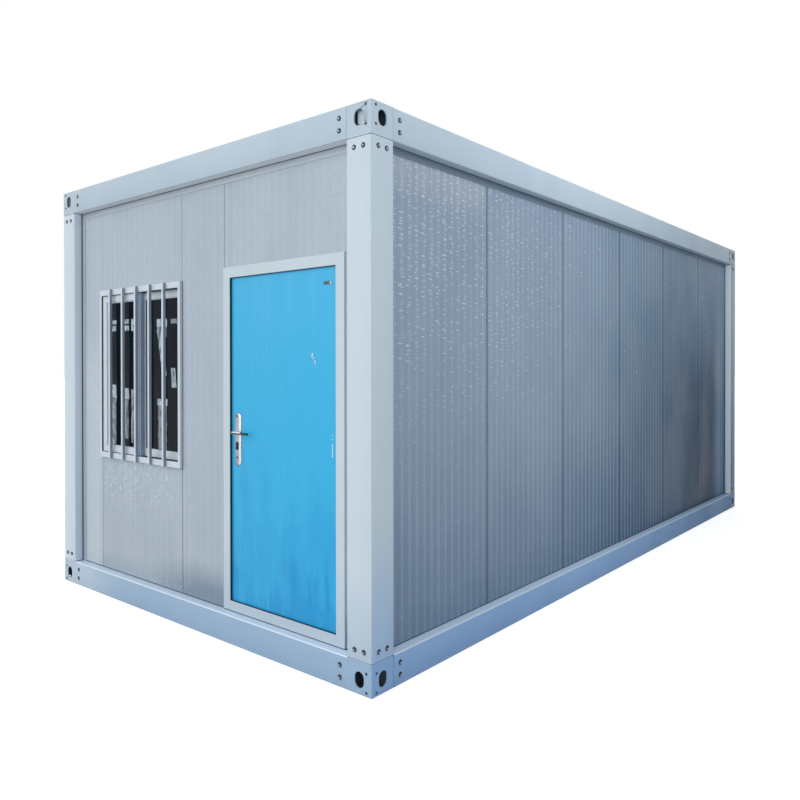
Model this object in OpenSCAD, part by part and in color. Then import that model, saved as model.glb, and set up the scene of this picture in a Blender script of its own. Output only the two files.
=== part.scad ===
// Flat pack container house: a bolted steel frame closed by sandwich panels, with one door
// and one sliding window in its front end. The frame stands on the ground at z = 0 and is
// centred on the origin. The front end faces -Y, the long sides face -X and +X.

/* [Overall] */
// Width over the columns
house_w = 3000; // [2900:10:3400]
// Length over the columns
house_l = 5950; // [5200:10:7000]
// Height over the frame
house_h = 2800; // [2600:10:3200]

/* [Frame] */
// Face width of the columns and the corner fittings
post_w = 160; // [150:1:180]
// Height of the beams and the corner fittings
beam_h = 160; // [150:1:200]
// Sheet thickness of the folded columns and beams
frame_t = 3; // [2:0.5:5]
// Depth of the beam flanges, from the outer face of the frame
flange_d = 130; // [120:1:145]
// Plate thickness of the corner fittings
fitting_t = 6; // [4:1:10]
// Thickness of the bolting tongues on the corner fittings
tongue_t = 5; // [3:1:10]
// Length of the bolting tongues beyond the fitting
tongue_l = 90; // [70:1:110]
// Space between a tongue and the folded edges beside it
tongue_edge = 15; // [5:1:30]

/* [Lifting slots] */
// Width of a slot
slot_w = 60; // [40:1:66]
// Height of a slot
slot_h = 78; // [65:1:90]
// Distance from the outer corner to the slot's middle
slot_u = 80; // [70:1:90]
// Distance from the outer end face of the fitting to the slot's middle
slot_v = 71; // [65:1:90]
// Diameter of the tie holes beside a slot
tie_d = 16; // [8:1:18]
// Distance from the outer corner to the tie holes
tie_u = 35; // [25:1:40]
// Distance from the outer end face to the first tie hole
tie_v = 19; // [15:1:30]
// Distance between the two tie holes
tie_pitch = 90; // [70:1:110]

/* [Walls] */
// Distance from the outer face of the frame to the face of the wall panels
panel_recess = 60; // [50:1:65]
// Thickness of the wall panels
panel_t = 50; // [40:1:55]
// Width that one wall panel covers
panel_w = 950; // [850:10:1150]
// Open joint between two wall panels
seam_gap = 3; // [1:0.5:6]
// Width of the trim strips round each wall
trim_w = 36; // [20:1:50]
// Thickness of the trim strips
trim_t = 3; // [1:0.5:6]
// Shadow gap between a trim strip and the steel beside it
trim_gap = 4; // [2:1:10]

/* [Floor] */
// Thickness of the floor board, and height of the lips that it lies against
floor_t = 18; // [12:1:25]
// Width of a floor joist
joist_w = 60; // [40:1:80]
// Height of a floor joist
joist_h = 100; // [60:1:115]
// Wall thickness of a floor joist
joist_t = 2.5; // [1.5:0.5:4]
// Largest distance between two floor joists
joist_pitch = 600; // [400:10:900]
// Distance from the end of the frame to the first joist's middle
joist_end = 320; // [310:10:500]

/* [Roof] */
// Thickness of the ceiling board, and height of the lips that it lies against
ceiling_t = 12; // [8:1:20]
// Width of a roof purlin
purlin_w = 50; // [40:1:80]
// Height of a roof purlin
purlin_h = 80; // [50:1:90]
// Wall thickness of a roof purlin
purlin_t = 2.5; // [1.5:0.5:4]
// Largest distance between two roof purlins
purlin_pitch = 900; // [500:10:1200]
// Distance from the end of the frame to the first purlin's middle
purlin_end = 340; // [310:10:500]
// Thickness of the roof sheet
roof_t = 1.5; // [1:0.5:4]
// Distance from the outer face of the frame to the edge of the roof sheet
roof_edge = 40; // [20:1:100]
// Distance between two ribs of the roof sheet
rib_pitch = 240; // [180:10:300]
// Height of a rib
rib_h = 22; // [10:1:28]
// Width of a rib's flat top
rib_crown = 30; // [20:1:60]
// Width of a rib's sloping flank
rib_flank = 18; // [8:1:30]

/* [Window] */
// Distance from the left side of the house to the window opening
window_x = 440; // [300:5:500]
// Height of the opening's lower edge above the ground
window_z = 933; // [700:1:1100]
// Width of the window opening
window_w = 950; // [700:5:1000]
// Height of the window opening
window_h = 1134; // [800:1:1250]
// How far the window frame stands in front of the wall
window_proud = 20; // [8:1:35]
// How far the frame's face laps over the wall
window_lap = 5; // [2:1:15]
// Face width of the frame's two sides
window_side = 24; // [18:1:45]
// Face width of the frame's head and sill
window_rail = 38; // [25:1:60]
// How far the outer sash lies behind the frame's face
sash_set = 10; // [4:1:14]
// Thickness of a sash
sash_t = 25; // [15:1:26]
// Gap between the two sashes
sash_gap = 2; // [1:0.5:4]
// Width of the sash stiles
sash_stile = 50; // [30:1:70]
// Width of the sash rails
sash_rail = 45; // [30:1:70]
// Side and top play of a sash in the frame
sash_play = 2; // [1:0.5:5]
// Thickness of the glass
glass_t = 5; // [3:0.5:8]

/* [Door] */
// Distance from the right side of the house to the door frame
door_right = 224; // [205:1:335]
// Width over the door frame
door_w = 965; // [850:1:970]
// Height over the door frame
door_h = 1956; // [1800:1:2100]
// Face width of the door frame
door_face = 60; // [45:1:80]
// How far the door frame stands in front of the wall
door_proud = 10; // [3:1:20]
// Thickness of the door leaf
leaf_t = 45; // [35:1:45]
// How far the frame's stop laps over the edges of the leaf
leaf_lap = 8; // [4:1:12]
// Gap between the edges of the leaf and the frame
leaf_gap = 7; // [6:0.5:10]
// Gap between the face of the leaf and the frame's stop
seal_gap = 5; // [5:0.5:8]

/* [Hinges] */
// Number of hinges
hinge_n = 3; // [2:1:4]
// Radius of a hinge knuckle
hinge_r = 8; // [6:0.5:10]
// Height of one knuckle
knuckle_h = 45; // [30:1:60]
// Gap between the two knuckles of a hinge
knuckle_gap = 0.3; // [0.2:0.1:1]
// Radius of the hinge pin
pin_r = 4; // [2.5:0.5:5]
// Running clearance round the pin
pin_play = 0.05; // [0.02:0.01:0.1]
// Length of the pin above the lower knuckle
pin_l = 38; // [20:1:44]
// Width of a hinge plate from the hinge axis
hinge_plate_w = 35; // [25:1:45]
// Thickness of a hinge plate
hinge_plate_t = 3; // [2:0.5:3.5]
// Distance from the end of the leaf to the middle of the outer hinges
hinge_end = 220; // [150:5:300]

/* [Handle] */
// Distance from the closing edge of the leaf to the lever's axis
handle_set = 67; // [50:1:90]
// Height of the lever's axis above the ground
lever_z = 1180; // [1000:5:1300]
// Width of a handle plate
plate_w = 57; // [45:1:70]
// Height of a handle plate
plate_h = 300; // [220:5:320]
// Thickness of a handle plate
plate_t = 8; // [5:0.5:12]
// Distance from the lever's axis down to the middle of the plate
plate_drop = 39; // [20:1:60]
// Distance from the lever's axis down to the lock cylinder
lock_drop = 72; // [50:1:92]
// Radius of the lock cylinder
lock_r = 9; // [6:0.5:12]
// How far the lock cylinder stands out of the plates
lock_out = 3; // [1:0.5:6]
// Clearance round the lock cylinder in the leaf
lock_play = 0.3; // [0.1:0.1:1]
// Radius of the lever's neck
neck_r = 9; // [7:0.5:12]
// Running clearance round the neck
neck_play = 0.05; // [0.02:0.01:0.1]
// Distance from the leaf to the middle of the lever's grip
lever_out = 46; // [36:1:60]
// Radius of the lever's grip
lever_r = 8; // [5:0.5:9]
// Length of the lever from its axis
lever_l = 125; // [90:1:140]
// Length of the lever's end that turns back to the leaf
lever_tip = 18; // [8:1:22]
// Side of the square spindle
spindle_w = 8; // [6:0.5:10]
// Clearance round the spindle in the leaf
spindle_play = 2; // [0.5:0.5:4]

/* [Hidden] */
$fn = 48;
cut = 1;
half_w = house_w / 2;
half_l = house_l / 2;
wall_z = beam_h;
wall_top = house_h - beam_h;
wall_h = wall_top - wall_z;
wall_in = panel_recess + panel_t;
frame_white = "#c4d3de";
panel_grey = "#a3b2c2";
pvc_white = "#dfe7ec";
door_blue = "#4bb1e1";
steel_grey = "#9aa4ad";

// Wall joints: the middles of the joints between panels, and the wall's own two ends
side_n = max(2, round((house_l - 2 * post_w) / panel_w));
side_joints = [for (i = [1 : side_n - 1]) (i - side_n / 2) * panel_w];
side_end = half_l - wall_in;
back_n = max(2, round((house_w - 2 * post_w) / panel_w));
back_joints = [for (i = [1 : back_n - 1]) (i - back_n / 2) * panel_w];
back_end = half_w - panel_recess;

// Window
win_x0 = window_x - half_w;
win_x1 = win_x0 + window_w;
win_top = window_z + window_h;
win_face = panel_recess - window_proud;
win_in_x0 = win_x0 - window_lap + window_side;
win_in_x1 = win_x1 + window_lap - window_side;
win_in_z0 = window_z - window_lap + window_rail;
win_in_z1 = win_top + window_lap - window_rail;
sash_x0 = win_in_x0 + sash_play;
sash_x1 = win_in_x1 - sash_play;
sash_w = (sash_x1 - sash_x0 + sash_stile) / 2;
sash_h = win_in_z1 - win_in_z0 - sash_play;
sash_out = win_face + sash_set;
sash_in = sash_out + sash_t + sash_gap;

// Door frame, leaf and hinge axis
door_x1 = half_w - door_right;
door_x0 = door_x1 - door_w;
door_top = wall_z + door_h;
door_front = panel_recess - door_proud;
leaf_front = wall_in - leaf_t;
leaf_x0 = door_x0 + door_face - leaf_lap;
leaf_x1 = door_x1 - door_face + leaf_lap;
leaf_z0 = wall_z + door_face - leaf_lap;
leaf_z1 = door_top - door_face + leaf_lap;
leaf_h = leaf_z1 - leaf_z0;
hinge_x = leaf_x1 + leaf_gap / 2;
hinge_y = wall_in + hinge_r;
hinge_step = (leaf_h - 2 * hinge_end) / (hinge_n - 1);
handle_x = leaf_x0 + handle_set;

// Floor and roof
joist_span = house_l - 2 * joist_end;
joist_n = 1 + ceil(joist_span / joist_pitch);
purlin_span = house_l - 2 * purlin_end;
purlin_n = 1 + ceil(purlin_span / purlin_pitch);
ceiling_z = wall_top;
purlin_z = ceiling_z + ceiling_t;
roof_z = purlin_z + purlin_h;
roof_w = house_w - 2 * roof_edge;
roof_l = house_l - 2 * roof_edge;
rib_n = floor(roof_w / rib_pitch);
rib_base = 2 * rib_flank + rib_crown;

// ---- Placing ----

// Puts a shape drawn in the frame's front left bottom corner into any of the eight corners
module at_corner(right, back, top) {
    translate([right ? half_w : -half_w, back ? half_l : -half_l, top ? house_h : 0])
        mirror([right ? 1 : 0, 0, 0])
            mirror([0, back ? 1 : 0, 0])
                mirror([0, 0, top ? 1 : 0])
                    children();
}

// Swaps the front face and the side face of a corner
module swap_faces() {
    mirror([1, -1, 0])
        children();
}

// Block in the front wall, given by its x and z range and its depths behind the frame's face
module front_block(x0, x1, d0, d1, z0, z1) {
    translate([x0, d0 - half_l, z0])
        cube([x1 - x0, d1 - d0, z1 - z0]);
}

// ---- Corner fittings ----

module slot_cut() {
    depth = fitting_t + 2 * cut;
    flat = slot_h - slot_w;
    translate([slot_u, -cut, slot_v]) {
        translate([-slot_w / 2, 0, -flat / 2])
            cube([slot_w, depth, flat]);
        for (end = [-1, 1])
            translate([0, 0, end * flat / 2])
                rotate([-90, 0, 0])
                    cylinder(d = slot_w, h = depth);
    }
}

module tie_hole_cuts() {
    for (v = [tie_v, tie_v + tie_pitch])
        translate([tie_u, -cut, v])
            rotate([-90, 0, 0])
                cylinder(d = tie_d, h = fitting_t + 2 * cut);
}

// The two tongues of one face: one runs into the beam, one into the column
module tongues() {
    edge = frame_t + tongue_edge;
    translate([post_w - fitting_t, frame_t, edge])
        cube([fitting_t + tongue_l, tongue_t, beam_h - 2 * edge]);
    translate([edge, frame_t, beam_h - fitting_t])
        cube([post_w - 2 * edge, tongue_t, fitting_t + tongue_l]);
}

module corner_fitting(right, back, top) {
    color(frame_white)
        at_corner(right, back, top)
            difference() {
                union() {
                    cube([post_w, post_w, beam_h]);
                    tongues();
                    swap_faces() tongues();
                }
                translate([fitting_t, fitting_t, fitting_t])
                    cube([post_w - 2 * fitting_t, post_w - 2 * fitting_t, beam_h - 2 * fitting_t]);
                slot_cut();
                tie_hole_cuts();
                swap_faces() slot_cut();
                swap_faces() tie_hole_cuts();
            }
}

// ---- Columns and beams ----

module column_outline(inset) {
    far = post_w - inset;
    near = panel_recess - inset;
    polygon([[inset, inset], [far, inset], [far, near], [near, near], [near, far], [inset, far]]);
}

module column(right, back) {
    color(frame_white)
        at_corner(right, back, false)
            translate([0, 0, wall_z])
                linear_extrude(wall_h)
                    difference() {
                        column_outline(0);
                        column_outline(frame_t);
                    }
}

// Channel along +X with its web on the outer face, its flanges pointing inwards and lips
module channel(length, lip) {
    back = flange_d - frame_t;
    rotate([90, 0, 90])
        linear_extrude(length)
            polygon([
                [0, 0], [flange_d, 0], [flange_d, lip], [back, lip], [back, frame_t],
                [frame_t, frame_t], [frame_t, beam_h - frame_t], [back, beam_h - frame_t],
                [back, beam_h - lip], [flange_d, beam_h - lip], [flange_d, beam_h], [0, beam_h]
            ]);
}

module end_beam(back, top, lip) {
    color(frame_white)
        at_corner(false, back, top)
            translate([post_w, 0, 0])
                channel(house_w - 2 * post_w, lip);
}

module side_beam(right, top, lip) {
    color(frame_white)
        at_corner(right, false, top)
            swap_faces()
                translate([post_w, 0, 0])
                    channel(house_l - 2 * post_w, lip);
}

// ---- Floor and roof ----

// Rectangular tube across the house, resting against the webs of the long beams
module cross_tube(w, h, t) {
    rotate([90, 0, 90])
        translate([0, 0, frame_t - half_w])
            linear_extrude(house_w - 2 * frame_t)
                difference() {
                    translate([-w / 2, 0])
                        square([w, h]);
                    translate([t - w / 2, t])
                        square([w - 2 * t, h - 2 * t]);
                }
}

// Board between the flanges of the beams, notched round the corner fittings
module board(t) {
    difference() {
        translate([flange_d - half_w, flange_d - half_l, 0])
            cube([house_w - 2 * flange_d, house_l - 2 * flange_d, t]);
        corner_notches(t);
    }
}

module corner_notches(t) {
    for (right = [false, true], back = [false, true])
        at_corner(right, back, false)
            translate([-cut, -cut, -cut])
                cube([post_w + cut, post_w + cut, t + 2 * cut]);
}

module floor_joists() {
    color(steel_grey)
        for (i = [0 : joist_n - 1])
            translate([0, i * joist_span / (joist_n - 1) - joist_span / 2, wall_z - floor_t - joist_h])
                cross_tube(joist_w, joist_h, joist_t);
}

module floor_board() {
    color("#8d8f90")
        translate([0, 0, wall_z - floor_t])
            board(floor_t);
}

module ceiling_board() {
    color("#e6eaec")
        translate([0, 0, ceiling_z])
            board(ceiling_t);
}

module roof_purlins() {
    color(steel_grey)
        for (i = [0 : purlin_n - 1])
            translate([0, i * purlin_span / (purlin_n - 1) - purlin_span / 2, purlin_z])
                cross_tube(purlin_w, purlin_h, purlin_t);
}

function rib_profile(x, lift) = [
    [x - rib_base / 2, lift],
    [x - rib_crown / 2, lift + rib_h],
    [x + rib_crown / 2, lift + rib_h],
    [x + rib_base / 2, lift]
];

function rib_x(i) = (i - (rib_n - 1) / 2) * rib_pitch;

module roof_sheet() {
    upper = [for (i = [0 : rib_n - 1]) each rib_profile(rib_x(i), roof_t)];
    lower = [for (i = [rib_n - 1 : -1 : 0]) each [for (k = [3 : -1 : 0]) rib_profile(rib_x(i), 0)[k]]];
    left = [[-roof_w / 2, 0], [-roof_w / 2, roof_t]];
    right = [[roof_w / 2, roof_t], [roof_w / 2, 0]];
    color("#b8c3cb")
        translate([0, 0, roof_z])
            difference() {
                rotate([90, 0, 0])
                    linear_extrude(roof_l, center = true)
                        polygon(concat(left, upper, right, lower));
                corner_notches(rib_h + roof_t);
            }
}

// ---- Walls ----

// Row of upright panels along +Y between the given edges, drawn with its outer face at x = 0
module panel_row(joints, end) {
    edges = concat([-end], joints, [end]);
    last = len(edges) - 2;
    for (i = [0 : last]) {
        y0 = edges[i] + (i > 0 ? seam_gap / 2 : 0);
        y1 = edges[i + 1] - (i < last ? seam_gap / 2 : 0);
        translate([-panel_t, y0, wall_z])
            cube([panel_t, y1 - y0, wall_h]);
    }
}

module right_wall() {
    color(panel_grey)
        translate([half_w - panel_recess, 0, 0])
            panel_row(side_joints, side_end);
}

module left_wall() {
    color(panel_grey)
        mirror([1, 0, 0])
            translate([half_w - panel_recess, 0, 0])
                panel_row(side_joints, side_end);
}

module back_wall() {
    color(panel_grey)
        rotate([0, 0, 90])
            translate([half_l - panel_recess, 0, 0])
                panel_row(back_joints, back_end);
}

module front_panel(x0, x1, z0, z1) {
    color(panel_grey)
        front_block(x0, x1, panel_recess, wall_in, z0, z1);
}

module front_wall_left() {
    front_panel(-back_end, win_x0 - seam_gap, wall_z, wall_top);
}

module front_wall_under_window() {
    front_panel(win_x0, win_x1, wall_z, window_z);
}

module front_wall_over_window() {
    front_panel(win_x0, win_x1, win_top, wall_top);
}

module front_wall_middle() {
    front_panel(win_x1 + seam_gap, door_x0, wall_z, wall_top);
}

module front_wall_over_door() {
    front_panel(door_x0 + seam_gap, back_end, door_top, wall_top);
}

module front_wall_right() {
    front_panel(door_x1, back_end, wall_z, door_top - seam_gap);
}

// Trim of one wall: an upright strip by each column and one strip under the top beam,
// drawn for a wall along +Y with its outer face at x = 0
module wall_trim(half) {
    clear = half - post_w - trim_gap;
    top = wall_top - trim_gap;
    for (side = [-1, 1])
        translate([0, side * (clear - trim_w / 2) - trim_w / 2, wall_z])
            cube([trim_t, trim_w, top - wall_z]);
    head = clear - trim_w - trim_gap;
    translate([0, -head, top - trim_w])
        cube([trim_t, 2 * head, trim_w]);
}

module wall_trims() {
    color(frame_white) {
        for (turn = [0, 180]) {
            rotate([0, 0, turn])
                translate([half_w - panel_recess, 0, 0])
                    wall_trim(half_l);
            rotate([0, 0, turn + 90])
                translate([half_l - panel_recess, 0, 0])
                    wall_trim(half_w);
        }
    }
}

// ---- Window ----

module window_frame() {
    color(pvc_white)
        difference() {
            union() {
                front_block(win_x0 - window_lap, win_x1 + window_lap, win_face, panel_recess,
                            window_z - window_lap, win_top + window_lap);
                front_block(win_x0, win_x1, win_face, wall_in, window_z, win_top);
            }
            front_block(win_in_x0, win_in_x1, win_face - cut, wall_in + cut, win_in_z0, win_in_z1);
        }
}

// One sash, given by its left edge and the depth of its outer face
module sash(x0, d0) {
    color(pvc_white)
        difference() {
            front_block(x0, x0 + sash_w, d0, d0 + sash_t, win_in_z0, win_in_z0 + sash_h);
            front_block(x0 + sash_stile, x0 + sash_w - sash_stile, d0 - cut, d0 + sash_t + cut,
                        win_in_z0 + sash_rail, win_in_z0 + sash_h - sash_rail);
        }
}

module window_sash_left() {
    sash(sash_x0, sash_out);
}

module window_sash_right() {
    sash(sash_x1 - sash_w, sash_in);
}

// Pane that fills the opening of a sash, in the middle of its thickness
module pane(x0, d0) {
    mid = d0 + sash_t / 2;
    front_block(x0 + sash_stile, x0 + sash_w - sash_stile, mid - glass_t / 2, mid + glass_t / 2,
                win_in_z0 + sash_rail, win_in_z0 + sash_h - sash_rail);
}

module window_glass() {
    color("#2c3a45", 0.5) {
        pane(sash_x0, sash_out);
        pane(sash_x1 - sash_w, sash_in);
    }
}

// ---- Door ----

module door_frame() {
    color(pvc_white)
        difference() {
            front_block(door_x0, door_x1, door_front, wall_in, wall_z, door_top);
            front_block(door_x0 + door_face, door_x1 - door_face, door_front - cut, wall_in + cut,
                        wall_z + door_face, door_top - door_face);
            front_block(leaf_x0 - leaf_gap, leaf_x1 + leaf_gap, leaf_front - seal_gap, wall_in + cut,
                        leaf_z0 - leaf_gap, leaf_z1 + leaf_gap);
        }
}

// Round bar along Y at the handle, between two depths behind the frame's face
module handle_bar(r, d0, d1, drop) {
    translate([handle_x, d0 - half_l, lever_z - drop])
        rotate([-90, 0, 0])
            cylinder(r = r, h = d1 - d0);
}

module door_leaf() {
    color(door_blue)
        difference() {
            front_block(leaf_x0, leaf_x1, leaf_front, wall_in, leaf_z0, leaf_z1);
            handle_bar(spindle_w * sqrt(2) / 2 + spindle_play, leaf_front - cut, wall_in + cut, 0);
            handle_bar(lock_r + lock_play, leaf_front - cut, wall_in + cut, lock_drop);
        }
}

function hinge_z(i) = leaf_z0 + hinge_end + i * hinge_step;

// Lower halves of the hinges, with their pins, on the frame
module door_hinges_frame() {
    color(steel_grey)
        for (i = [0 : hinge_n - 1])
            translate([hinge_x, hinge_y - half_l, hinge_z(i)]) {
                translate([0, 0, -knuckle_h])
                    cylinder(r = hinge_r, h = knuckle_h);
                translate([0, 0, -knuckle_h])
                    cylinder(r = pin_r, h = knuckle_h + pin_l);
                translate([0, -hinge_r, -knuckle_h])
                    cube([hinge_plate_w, hinge_plate_t, knuckle_h]);
            }
}

// Upper halves of the hinges, on the leaf
module door_hinges_leaf() {
    color(steel_grey)
        for (i = [0 : hinge_n - 1])
            translate([hinge_x, hinge_y - half_l, hinge_z(i) + knuckle_gap])
                difference() {
                    union() {
                        cylinder(r = hinge_r, h = knuckle_h);
                        translate([-hinge_plate_w, -hinge_r, 0])
                            cube([hinge_plate_w, hinge_plate_t, knuckle_h]);
                    }
                    translate([0, 0, -cut])
                        cylinder(r = pin_r + pin_play, h = knuckle_h + 2 * cut);
                }
}

// Handle plate with round ends, between two depths behind the frame's face
module handle_plate(d0, d1) {
    flat = plate_h - plate_w;
    translate([handle_x, d0 - half_l, lever_z - plate_drop]) {
        translate([-plate_w / 2, 0, -flat / 2])
            cube([plate_w, d1 - d0, flat]);
        for (end = [-1, 1])
            translate([0, 0, end * flat / 2])
                rotate([-90, 0, 0])
                    cylinder(d = plate_w, h = d1 - d0);
    }
}

// The two plates, joined through the leaf by the lock cylinder
module door_handle_plates() {
    color("#c9ccd0")
        difference() {
            union() {
                handle_plate(leaf_front - plate_t, leaf_front);
                handle_plate(wall_in, wall_in + plate_t);
                handle_bar(lock_r, leaf_front - plate_t - lock_out, wall_in + plate_t + lock_out,
                           lock_drop);
            }
            handle_bar(neck_r + neck_play, leaf_front - plate_t - cut, wall_in + plate_t + cut, 0);
        }
}

// One grip with its neck, drawn for a leaf face at y = 0 with the outside towards -Y
module grip() {
    translate([0, -lever_out, 0])
        rotate([-90, 0, 0])
            cylinder(r = neck_r, h = lever_out - cut);
    translate([0, -lever_out, 0]) {
        sphere(r = neck_r);
        rotate([0, 90, 0])
            cylinder(r = lever_r, h = lever_l - lever_r);
        translate([lever_l - lever_r, 0, 0]) {
            sphere(r = lever_r);
            rotate([-90, 0, 0])
                cylinder(r = lever_r, h = lever_tip);
        }
    }
}

// Both grips on their common spindle
module door_lever() {
    color("#c9ccd0") {
        translate([handle_x, leaf_front - half_l, lever_z])
            grip();
        translate([handle_x, wall_in - half_l, lever_z])
            mirror([0, 1, 0])
                grip();
        front_block(handle_x - spindle_w / 2, handle_x + spindle_w / 2,
                    leaf_front - plate_t, wall_in + plate_t,
                    lever_z - spindle_w / 2, lever_z + spindle_w / 2);
    }
}

corner_fitting(false, false, false);  // bottom_fitting_front_left
corner_fitting(true, false, false);  // bottom_fitting_front_right
corner_fitting(false, true, false);  // bottom_fitting_back_left
corner_fitting(true, true, false);  // bottom_fitting_back_right
corner_fitting(false, false, true);  // top_fitting_front_left
corner_fitting(true, false, true);  // top_fitting_front_right
corner_fitting(false, true, true);  // top_fitting_back_left
corner_fitting(true, true, true);  // top_fitting_back_right
column(false, false);  // column_front_left
column(true, false);  // column_front_right
column(false, true);  // column_back_left
column(true, true);  // column_back_right
end_beam(false, false, floor_t);  // bottom_beam_front
end_beam(true, false, floor_t);  // bottom_beam_back
side_beam(false, false, floor_t);  // bottom_beam_left
side_beam(true, false, floor_t);  // bottom_beam_right
end_beam(false, true, ceiling_t);  // top_beam_front
end_beam(true, true, ceiling_t);  // top_beam_back
side_beam(false, true, ceiling_t);  // top_beam_left
side_beam(true, true, ceiling_t);  // top_beam_right
floor_joists();
floor_board();
ceiling_board();
roof_purlins();
roof_sheet();
front_wall_left();
front_wall_under_window();
front_wall_over_window();
front_wall_middle();
front_wall_over_door();
front_wall_right();
right_wall();
left_wall();
back_wall();
wall_trims();
window_frame();
window_sash_left();
window_sash_right();
window_glass();
door_frame();
door_leaf();
door_hinges_frame();
door_hinges_leaf();
door_handle_plates();
door_lever();
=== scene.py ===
"""Looks of a flat pack container house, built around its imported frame.

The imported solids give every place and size. This script dresses them: painted
frame with bolts, ribbed and embossed sandwich walls, barred sliding window,
blue steel door with its handle set, roof, floor, light and camera.
"""

from __future__ import annotations

import logging
import math
from dataclasses import dataclass, replace
from enum import Enum
from functools import cached_property, partialmethod
from itertools import product
from typing import Callable, Iterable, Sequence, TypeVar

import bmesh  # noqa: E402
import bpy  # noqa: E402
from bmesh.types import BMEdge, BMFace, BMVert  # noqa: E402
from bpy.types import Material, Node, NodeSocket, NodeTree, Object  # noqa: E402
from mathutils import Matrix, Vector  # noqa: E402

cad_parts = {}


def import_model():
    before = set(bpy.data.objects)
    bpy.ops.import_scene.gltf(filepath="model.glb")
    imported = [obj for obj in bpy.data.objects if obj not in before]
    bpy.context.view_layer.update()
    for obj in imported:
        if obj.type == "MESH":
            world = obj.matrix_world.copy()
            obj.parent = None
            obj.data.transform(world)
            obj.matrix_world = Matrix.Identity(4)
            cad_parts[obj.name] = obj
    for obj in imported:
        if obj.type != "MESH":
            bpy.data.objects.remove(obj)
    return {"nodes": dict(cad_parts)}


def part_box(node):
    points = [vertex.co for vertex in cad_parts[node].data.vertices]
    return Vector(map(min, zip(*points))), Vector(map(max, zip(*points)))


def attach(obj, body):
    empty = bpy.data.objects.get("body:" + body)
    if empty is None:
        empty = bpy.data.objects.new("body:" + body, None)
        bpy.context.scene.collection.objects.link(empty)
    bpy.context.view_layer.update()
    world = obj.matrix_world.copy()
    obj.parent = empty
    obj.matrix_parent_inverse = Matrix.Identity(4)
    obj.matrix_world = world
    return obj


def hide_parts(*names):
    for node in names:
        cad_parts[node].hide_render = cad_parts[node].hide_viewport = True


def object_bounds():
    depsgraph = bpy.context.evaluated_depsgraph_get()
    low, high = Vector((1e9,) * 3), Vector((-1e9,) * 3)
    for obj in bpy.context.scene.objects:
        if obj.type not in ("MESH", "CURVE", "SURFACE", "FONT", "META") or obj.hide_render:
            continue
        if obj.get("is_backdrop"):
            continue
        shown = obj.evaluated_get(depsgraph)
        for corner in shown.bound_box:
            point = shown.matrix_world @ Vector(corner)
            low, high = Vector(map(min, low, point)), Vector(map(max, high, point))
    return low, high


Element = TypeVar("Element")
Point = Sequence[float]
Span = tuple[float, float]
Linear = tuple[float, ...]
Sockets = Sequence[NodeSocket]

LOG = logging.getLogger("house")
MM = 0.001
RIB_PITCH = 61.5 * MM
MODULE = 950 * MM
SKIN_GRAIN = 4 * MM
# Shares of a unit normal above which a face looks sideways or lies level.
SIDEWAYS = 0.9
LEVEL_FACE = 0.98


class Body(Enum):
    """Moving bodies of the house."""

    HOUSE = "house"
    DOOR = "door"
    LEVER = "lever"


class Slot(Enum):
    """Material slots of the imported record."""

    FRAME = "frame_paint"
    STEEL = "galvanised_steel"
    FLOOR = "floor_board"
    CEILING = "ceiling_board"
    ROOF = "roof_sheet"
    PANEL = "panel_sheet"
    WINDOW = "window_plastic"
    GLASS = "window_glass"
    DOOR_FRAME = "door_frame_paint"
    DOOR = "door_paint"
    HINGE = "hinge_steel"
    HANDLE = "handle_steel"


class Facing(Enum):
    """The side that a wall looks to: its outward axis and its axis along the wall."""

    FRONT = ((0.0, -1.0, 0.0), (1.0, 0.0, 0.0))
    BACK = ((0.0, 1.0, 0.0), (1.0, 0.0, 0.0))
    LEFT = ((-1.0, 0.0, 0.0), (0.0, 1.0, 0.0))
    RIGHT = ((1.0, 0.0, 0.0), (0.0, 1.0, 0.0))

    @property
    def out(self) -> Vector:
        """Unit vector out of the wall."""
        return Vector(self.value[0])

    @property
    def along(self) -> Vector:
        """Unit vector along the wall."""
        return Vector(self.value[1])

    @property
    def long(self) -> bool:
        """Whether it is a long side of the house."""
        return self in (Facing.LEFT, Facing.RIGHT)

    def at(self, run: float, out: float, up: float) -> Vector:
        """The point at a place along the wall, a distance along its outward axis and a height."""
        return self.along * run + self.out * out + Vector((0, 0, up))


def tone(shown: int, share: float = 1.0) -> Linear:
    """Turns a display colour into a linear one.

    Args:
        shown: The colour as 0xRRGGBB.
        share: What its light is multiplied by.

    Returns:
        The linear colour with an alpha of 1.
    """
    parts = [c / 255.0 for c in shown.to_bytes(3, "big")]
    linear = [c / 12.92 if c <= 0.04045 else ((c + 0.055) / 1.055) ** 2.4 for c in parts]
    return (*(share * c for c in linear), 1.0)


# ---- Shapes ----


def once(items: Iterable[Element]) -> list[Element]:
    """The items once each in their order, which a set would lose from run to run."""
    return list(dict.fromkeys(items))


@dataclass(frozen=True)
class Edging:
    """How a new solid ends: width and steps of its bevels, and the index of its finish."""

    bevel: float = 0.0
    segments: int = 1
    finish: int = 0


PLAIN = Edging()
SECOND = Edging(finish=1)
EASED = Edging(1.5 * MM, 2)


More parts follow.
